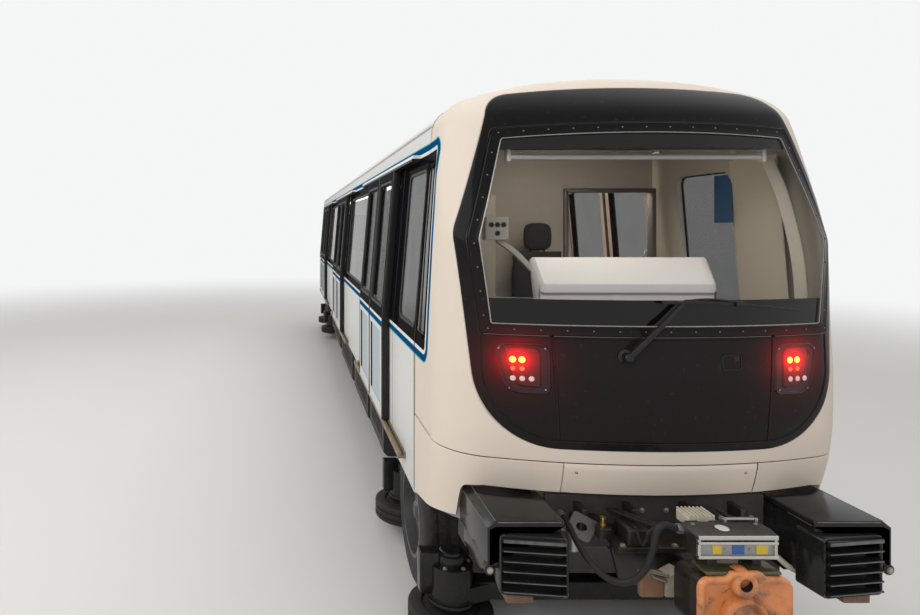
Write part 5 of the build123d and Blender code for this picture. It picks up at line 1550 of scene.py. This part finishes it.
def cushion(size, centre, tilt, bulge):
    """Crowned closed form: a superellipsoid whose half sizes are given, its sides drawn in between the corners."""
    u = np.linspace(-math.pi / 2, math.pi / 2, 17)[:, None]
    v = np.linspace(-math.pi, math.pi, 40, endpoint=False)[None]
    power = lambda value, e: np.sign(value) * np.abs(value) ** e
    a, b = 0.55, 2 / (bulge * 2)
    x = size[0] * power(np.cos(u), a) * power(np.cos(v), b)
    y = size[1] * power(np.cos(u), a) * power(np.sin(v), b)
    z = size[2] * power(np.sin(u), 0.7) * np.ones_like(v)
    pull = 1 - 0.03 * (np.cos(2 * v) ** 2) * np.cos(u)
    points = np.stack((x * pull, y * pull, z), -1)
    return Form().grid(points, close_columns=True).turned("x", tilt).moved(*centre)


THREADS = 1400


def woven(name, colour, dark):
    """Woven cloth: the product of two crossed sine waves is its thread."""
    shader = Shader(name, roughness=0.9, specular=0.2)
    x, y, z = shader.axes()
    thread = ((x + z) * THREADS).sine() * ((y - z) * THREADS).sine() * 0.5 + 0.5
    return shader.feed(base_color=shader.mix(thread * 0.6 + shader.noise(12, 3) * 0.3, colour, dark),
        normal=shader.bump(thread, 0.4, 0.0006))


seat_fabric = woven("attendant_seat_fabric", (0.018, 0.018, 0.022), (0.06, 0.06, 0.068))


SEAT_X = -0.055


def attendant_seat():
    """Swivel foot, seat pan, back plate and headrest stems, with three padded cushions."""
    x = SEAT_X
    frame_form = lathe(((0, 0), (0, 0.15), (0.028, 0.15), (0.034, 0.14), (0.05, 0.05), (0.4, 0.045), (0.425, 0.12),
        (0.425, 0)), (x, at(1.17), 1.002), "z", 32)
    frame_form.add(box(x - 0.19, x + 0.19, 1.0, 1.345, 1.424, 1.446, 0.005))
    frame_form.add(slab(((at(1.35), 1.44), (at(1.372), 1.44), (at(1.444), 2.3), (at(1.424), 2.3)), x - 0.17,
        x + 0.17, "x", 0.004))
    for stem in (x - 0.05, x + 0.05):
        frame_form.add(tube(route((stem, 1.43, 2.24), (stem, 1.432, 2.36)), 0.007, 8))
    piece("attendant_seat_frame", frame_form, dusty_black, stands_for="attendant_seat")
    parts = (("base", (0.205, 0.175, 0.038), (x, at(1.17), 1.475), 0.0, 2.6),
        ("back", (0.195, 0.4, 0.038), (x, at(1.375), 1.88), 84.5, 2.6),
        ("headrest", (0.1, 0.1, 0.026), (x, at(1.424), 2.405), 90.0, 1.5))
    for name, size, centre, tilt, bulge in parts:
        pad = piece(f"attendant_seat_{name}_pad", cushion(size, centre, tilt, bulge), seat_fabric)


# Places of the handles beside the doorways, and height of the rails under the ceiling
HANDLE_PLACES, RAIL_Z = (1.67, 3.33, 5.62, 7.28, 9.57, 11.23), 2.84


def cab_interior():
    """Blind bar over the windscreen, pillar trims, partition door frame, cabinet and side blind."""
    bar = tube(route((-0.665, 0.285, 2.842), (0.66, 0.285, 2.842)), 0.015, 14)
    for x in (-0.675, 0.65):
        bar.add(box(x, x + 0.02, 0.262, 0.306, 2.815, 2.88, 0.003))
    piece("blind_bar", bar, white_plate)
    trim = Form()
    for side in (-1, 1):
        path = eased(route((side * 0.94, 0.36, 1.95), (side * 0.92, 0.37, 2.3), (side * 0.885, 0.42, 2.62),
            (side * 0.845, 0.48, 2.84)), 8)
        trim.add(carried(rectangle(-0.03, 0.03, -0.008, 0.008, 0.005, 3), path, (side, 0.6, 0)))
    piece("pillar_trims", trim, cream_panel)
    frame_bars = boxes(*((x0, x1, 1.575, 1.645, z0, z1, 0.004)
        for x0, x1, z0, z1 in ((0.205, 0.235, 1.005, 2.745), (0.845, 0.875, 1.005, 2.745),
            (0.205, 0.875, 2.725, 2.755))))
    piece("partition_door_frame", frame_bars, dull_trim)
    cabinet = box(-0.93, -0.36, 1.38, 1.598, 1.1, 2.7, 0.012)
    cabinet.add(box(-0.64, -0.632, 1.374, 1.384, 1.16, 2.64, 0.002))
    piece("cab_cabinet", cabinet, lining)
    blind = slab(rectangle(at(0.86), at(1.02), 2.5, 2.8, 0.006), 0.915, 0.921, "x", 0.002)
    piece("cab_side_blind", blind, blue_panel)
    liner = Form()
    for low, high in ((1.3, 1.9), (1.9, 2.4), (2.4, 2.88)):
        edge = lambda z: float(half_width(z)) - 0.034
        liner.add(slab(((edge(low), low), (edge(low) - 0.008, low), (edge(high) - 0.008, high), (edge(high), high)),
            at(0.5), at(0.868), "y", 0.002))
    piece("cab_side_panels", liner.both(), cream_panel)
    lights = boxes(*((x - 0.045, x + 0.045, 1.75, 12.6, 3.028, 3.041, 0.004) for x in (-0.34, 0.34)),
        (-0.16, 0.16, 0.78, 0.98, 3.03, 3.041, 0.004))
    piece("saloon_light_strips", lights, light_strip)
    piece("desk_light", box(-0.42, 0.42, 0.5, 0.58, 2.924, 2.95, 0.003), desk_light)
    visor = slab(rounded(((0.24, 2.905), (0.3, 2.88), (0.7, 2.985), (0.7, 3.02), (0.3, 3.0)), 0.004, 3), -0.7, 0.7,
        "x", 0.004)
    piece("windscreen_header", visor.moved(0, NOSE, 0), dusty_black)
    handles = Form()
    for d in HANDLE_PLACES:
        for side in (-1, 1):
            handles.add(tube(eased(route((side * 0.985, d, 1.25), (side * 0.93, d, 1.29), (side * 0.9, d, 1.6),
                (side * 0.85, d, 2.2), (side * 0.88, d, 2.32)), 6), 0.014, 10))
    piece("doorway_handles", handles, pole_steel)
    rails = Form()
    for x in (-0.42, 0.42):
        rails.add(tube([(x, at(d), RAIL_Z) for d in (1.9, 7.0, 12.5)], 0.014, 10))
        for d in np.arange(2.0, 12.6, 1.3):
            rails.add(tube([(x, at(d), z) for z in (RAIL_Z, 3.036)], 0.009, 8))
    piece("ceiling_grab_rails", rails, pole_steel)


# ---- camera, floor and light ----

CAMERA_X, CAMERA_DISTANCE, CAMERA_Z = -1.8, 2.95, 2.48
PHOTO_WIDTH, PHOTO_HEIGHT = 920, 615
VANISH_U, VANISH_V, FOCAL_PIXELS = 290.0, 226.0, 620.0
BACKDROP = (0.91, 0.915, 0.915)
AMBIENT = 0.62
FLOOR_HALF, FADE_REACH, FADE_SOFT = 90.0, 14.0, 8.0
# Name, place, turn in degrees, width, height, watts
LIGHTS = (("front_soft_light", (-5.0, -15.0, 7.5), (58, 0, -22), 7, 4, 520),
    ("left_soft_light", (-8.0, -3.0, 6.0), (0, -60, 0), 4, 14, 330),
    ("top_soft_light", (1.0, 0.0, 8.5), (0, 0, 0), 5, 16, 420))


def stage():
    """The photo's camera, a pale floor that fades into the backdrop, a plain world and three soft lights."""
    scene = bpy.context.scene
    scene.view_settings.view_transform = "Standard"
    camera = bpy.data.cameras.new("camera")
    camera.sensor_width = 36.0
    camera.lens = camera.sensor_width * FOCAL_PIXELS / PHOTO_WIDTH
    camera.shift_x = (PHOTO_WIDTH / 2 - VANISH_U) / PHOTO_WIDTH
    camera.shift_y = (VANISH_V - PHOTO_HEIGHT / 2) / PHOTO_WIDTH
    eye = linked("camera", camera)
    eye.location = (CAMERA_X, NOSE - CAMERA_DISTANCE, CAMERA_Z)
    eye.rotation_euler = (math.pi / 2, 0, 0)
    scene.camera = eye

    ground = Shader("pale_floor", roughness=0.6)
    ground.feed(base_color=ground.mix(ground.noise(0.8, 3, 0.5) * 0.3, (0.63, 0.615, 0.59), (0.57, 0.555, 0.53)))
    x, y, _ = ground.axes()
    away = (x * x + y * y).root()
    haze = ground.node("ShaderNodeEmission", {}, {"Color": BACKDROP})
    blended = ground.node("ShaderNodeMixShader", {}, {0: away.beyond(FADE_REACH, FADE_SOFT) * ground.seen(),
        1: Val(ground, ground.principled.outputs[0]), 2: haze})
    ground.tree.links.new(blended.socket, ground.tree.nodes["Material Output"].inputs["Surface"])
    sheet = Form().cap(np.array(((-1, -1, 0), (1, -1, 0), (1, 1, 0), (-1, 1, 0))) * FLOOR_HALF)
    floor = linked("stage_floor", sheet.mesh("stage_floor"), ground.material)

    world = bpy.data.worlds.new("studio")
    sky = Graph(world)
    background = sky.tree.nodes["Background"]
    sky.put(background.inputs["Color"], BACKDROP)
    sky.put(background.inputs["Strength"], sky.node("ShaderNodeMapRange", {},
        {"Value": sky.seen(), "To Min": AMBIENT, "To Max": 1.0}))
    scene.world = world
    for name, place, turn, width, height, power in LIGHTS:
        lamp = bpy.data.lights.new(name, "AREA")
        lamp.shape, lamp.size, lamp.size_y, lamp.energy = "RECTANGLE", width, height, power
        lamp_object = linked(name, lamp)
        lamp_object.location = place
        lamp_object.rotation_euler = [math.radians(a) for a in turn]
        lamp_object.visible_glossy = name == "left_soft_light"


# ---- finishes on the pieces kept from the part ----

KEPT = {"side_walls": white, "cantrails": white, "roof": white, "rear_wall": white, "saloon_windows": window_glass,
    "ceiling": lining, "cab_partition": lining, "floor": floor_cover, "door_rails": rail_metal,
    "underframe": dusty_black, "underfloor_equipment": dusty_black, "front_axle_frame": bumper,
    "rear_axle_frame": bumper, "passenger_seats": seat_plastic, "grab_poles": pole_steel}


def kept_finishes():
    """Finishes for the nodes that stay as the part made them."""
    for name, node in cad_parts.items():
        finish = door_white if "_leaf_" in name else rim_paint if "_rim_" in name else KEPT.get(name)
        if finish:
            node.data.materials.clear()
            node.data.materials.append(finish)


# ---- air hose ----

HOSE_RADIUS = 0.014
HOSE_ROUTE = ((-0.467, 0.112, 1.062), (-0.467, 0.04, 1.063), (-0.486, -0.06, 1.052), (-0.478, -0.15, 1.005),
    (-0.44, -0.222, 0.952), (-0.386, -0.268, 0.934), (-0.33, -0.312, 0.968), (-0.29, -0.338, 1.05),
    (-0.272, -0.35, 1.14), (-0.266, -0.352, 1.2), (-0.238, -0.352, 1.232), (-0.204, -0.352, 1.222),
    (-0.168, -0.352, 1.212))


def air_hose():
    """The hose as a smooth spline on the part's own route, with a nut at each end."""
    curve = bpy.data.curves.new("air_hose_line", "CURVE")
    curve.dimensions = "3D"
    curve.bevel_depth, curve.bevel_resolution, curve.use_fill_caps = HOSE_RADIUS, 4, True
    line = curve.splines.new("NURBS")
    line.points.add(len(HOSE_ROUTE) - 1)
    places = np.array([(x, at(d), z, 1.0) for x, d, z in HOSE_ROUTE])
    line.points.foreach_set("co", places.ravel())
    line.order_u, line.use_endpoint_u = 3, True
    obj = linked("air_hose_line", curve, rubber)
    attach(obj, "car_body")
    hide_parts("air_hose")
    fittings = Form()
    end, start = places[-1, :3], places[0, :3]
    fittings.add(lathe(((0, 0), (0, 0.02), (0.022, 0.02), (0.026, 0.016), (0.04, 0.016), (0.04, 0)),
        (end[0] - 0.012, end[1], end[2]), "x", 6))
    fittings.add(lathe(((0, 0), (0, 0.02), (-0.026, 0.02), (-0.03, 0.017), (-0.044, 0.017), (-0.044, 0)),
        (start[0], start[1] + 0.004, start[2]), "y", 6))
    piece("air_hose_fittings", fittings, zinc)


for build in (cab_shell, apron, mask, windscreen, front_hatch, mask_seams, headlamps, wiper, anticlimbers, coupler,
        electric_head, drawgear, coupler_surroundings, side_details, doors, door_track_details, rear_end,
        running_gear, console, attendant_seat, cab_interior, stage, kept_finishes, air_hose):
    build()
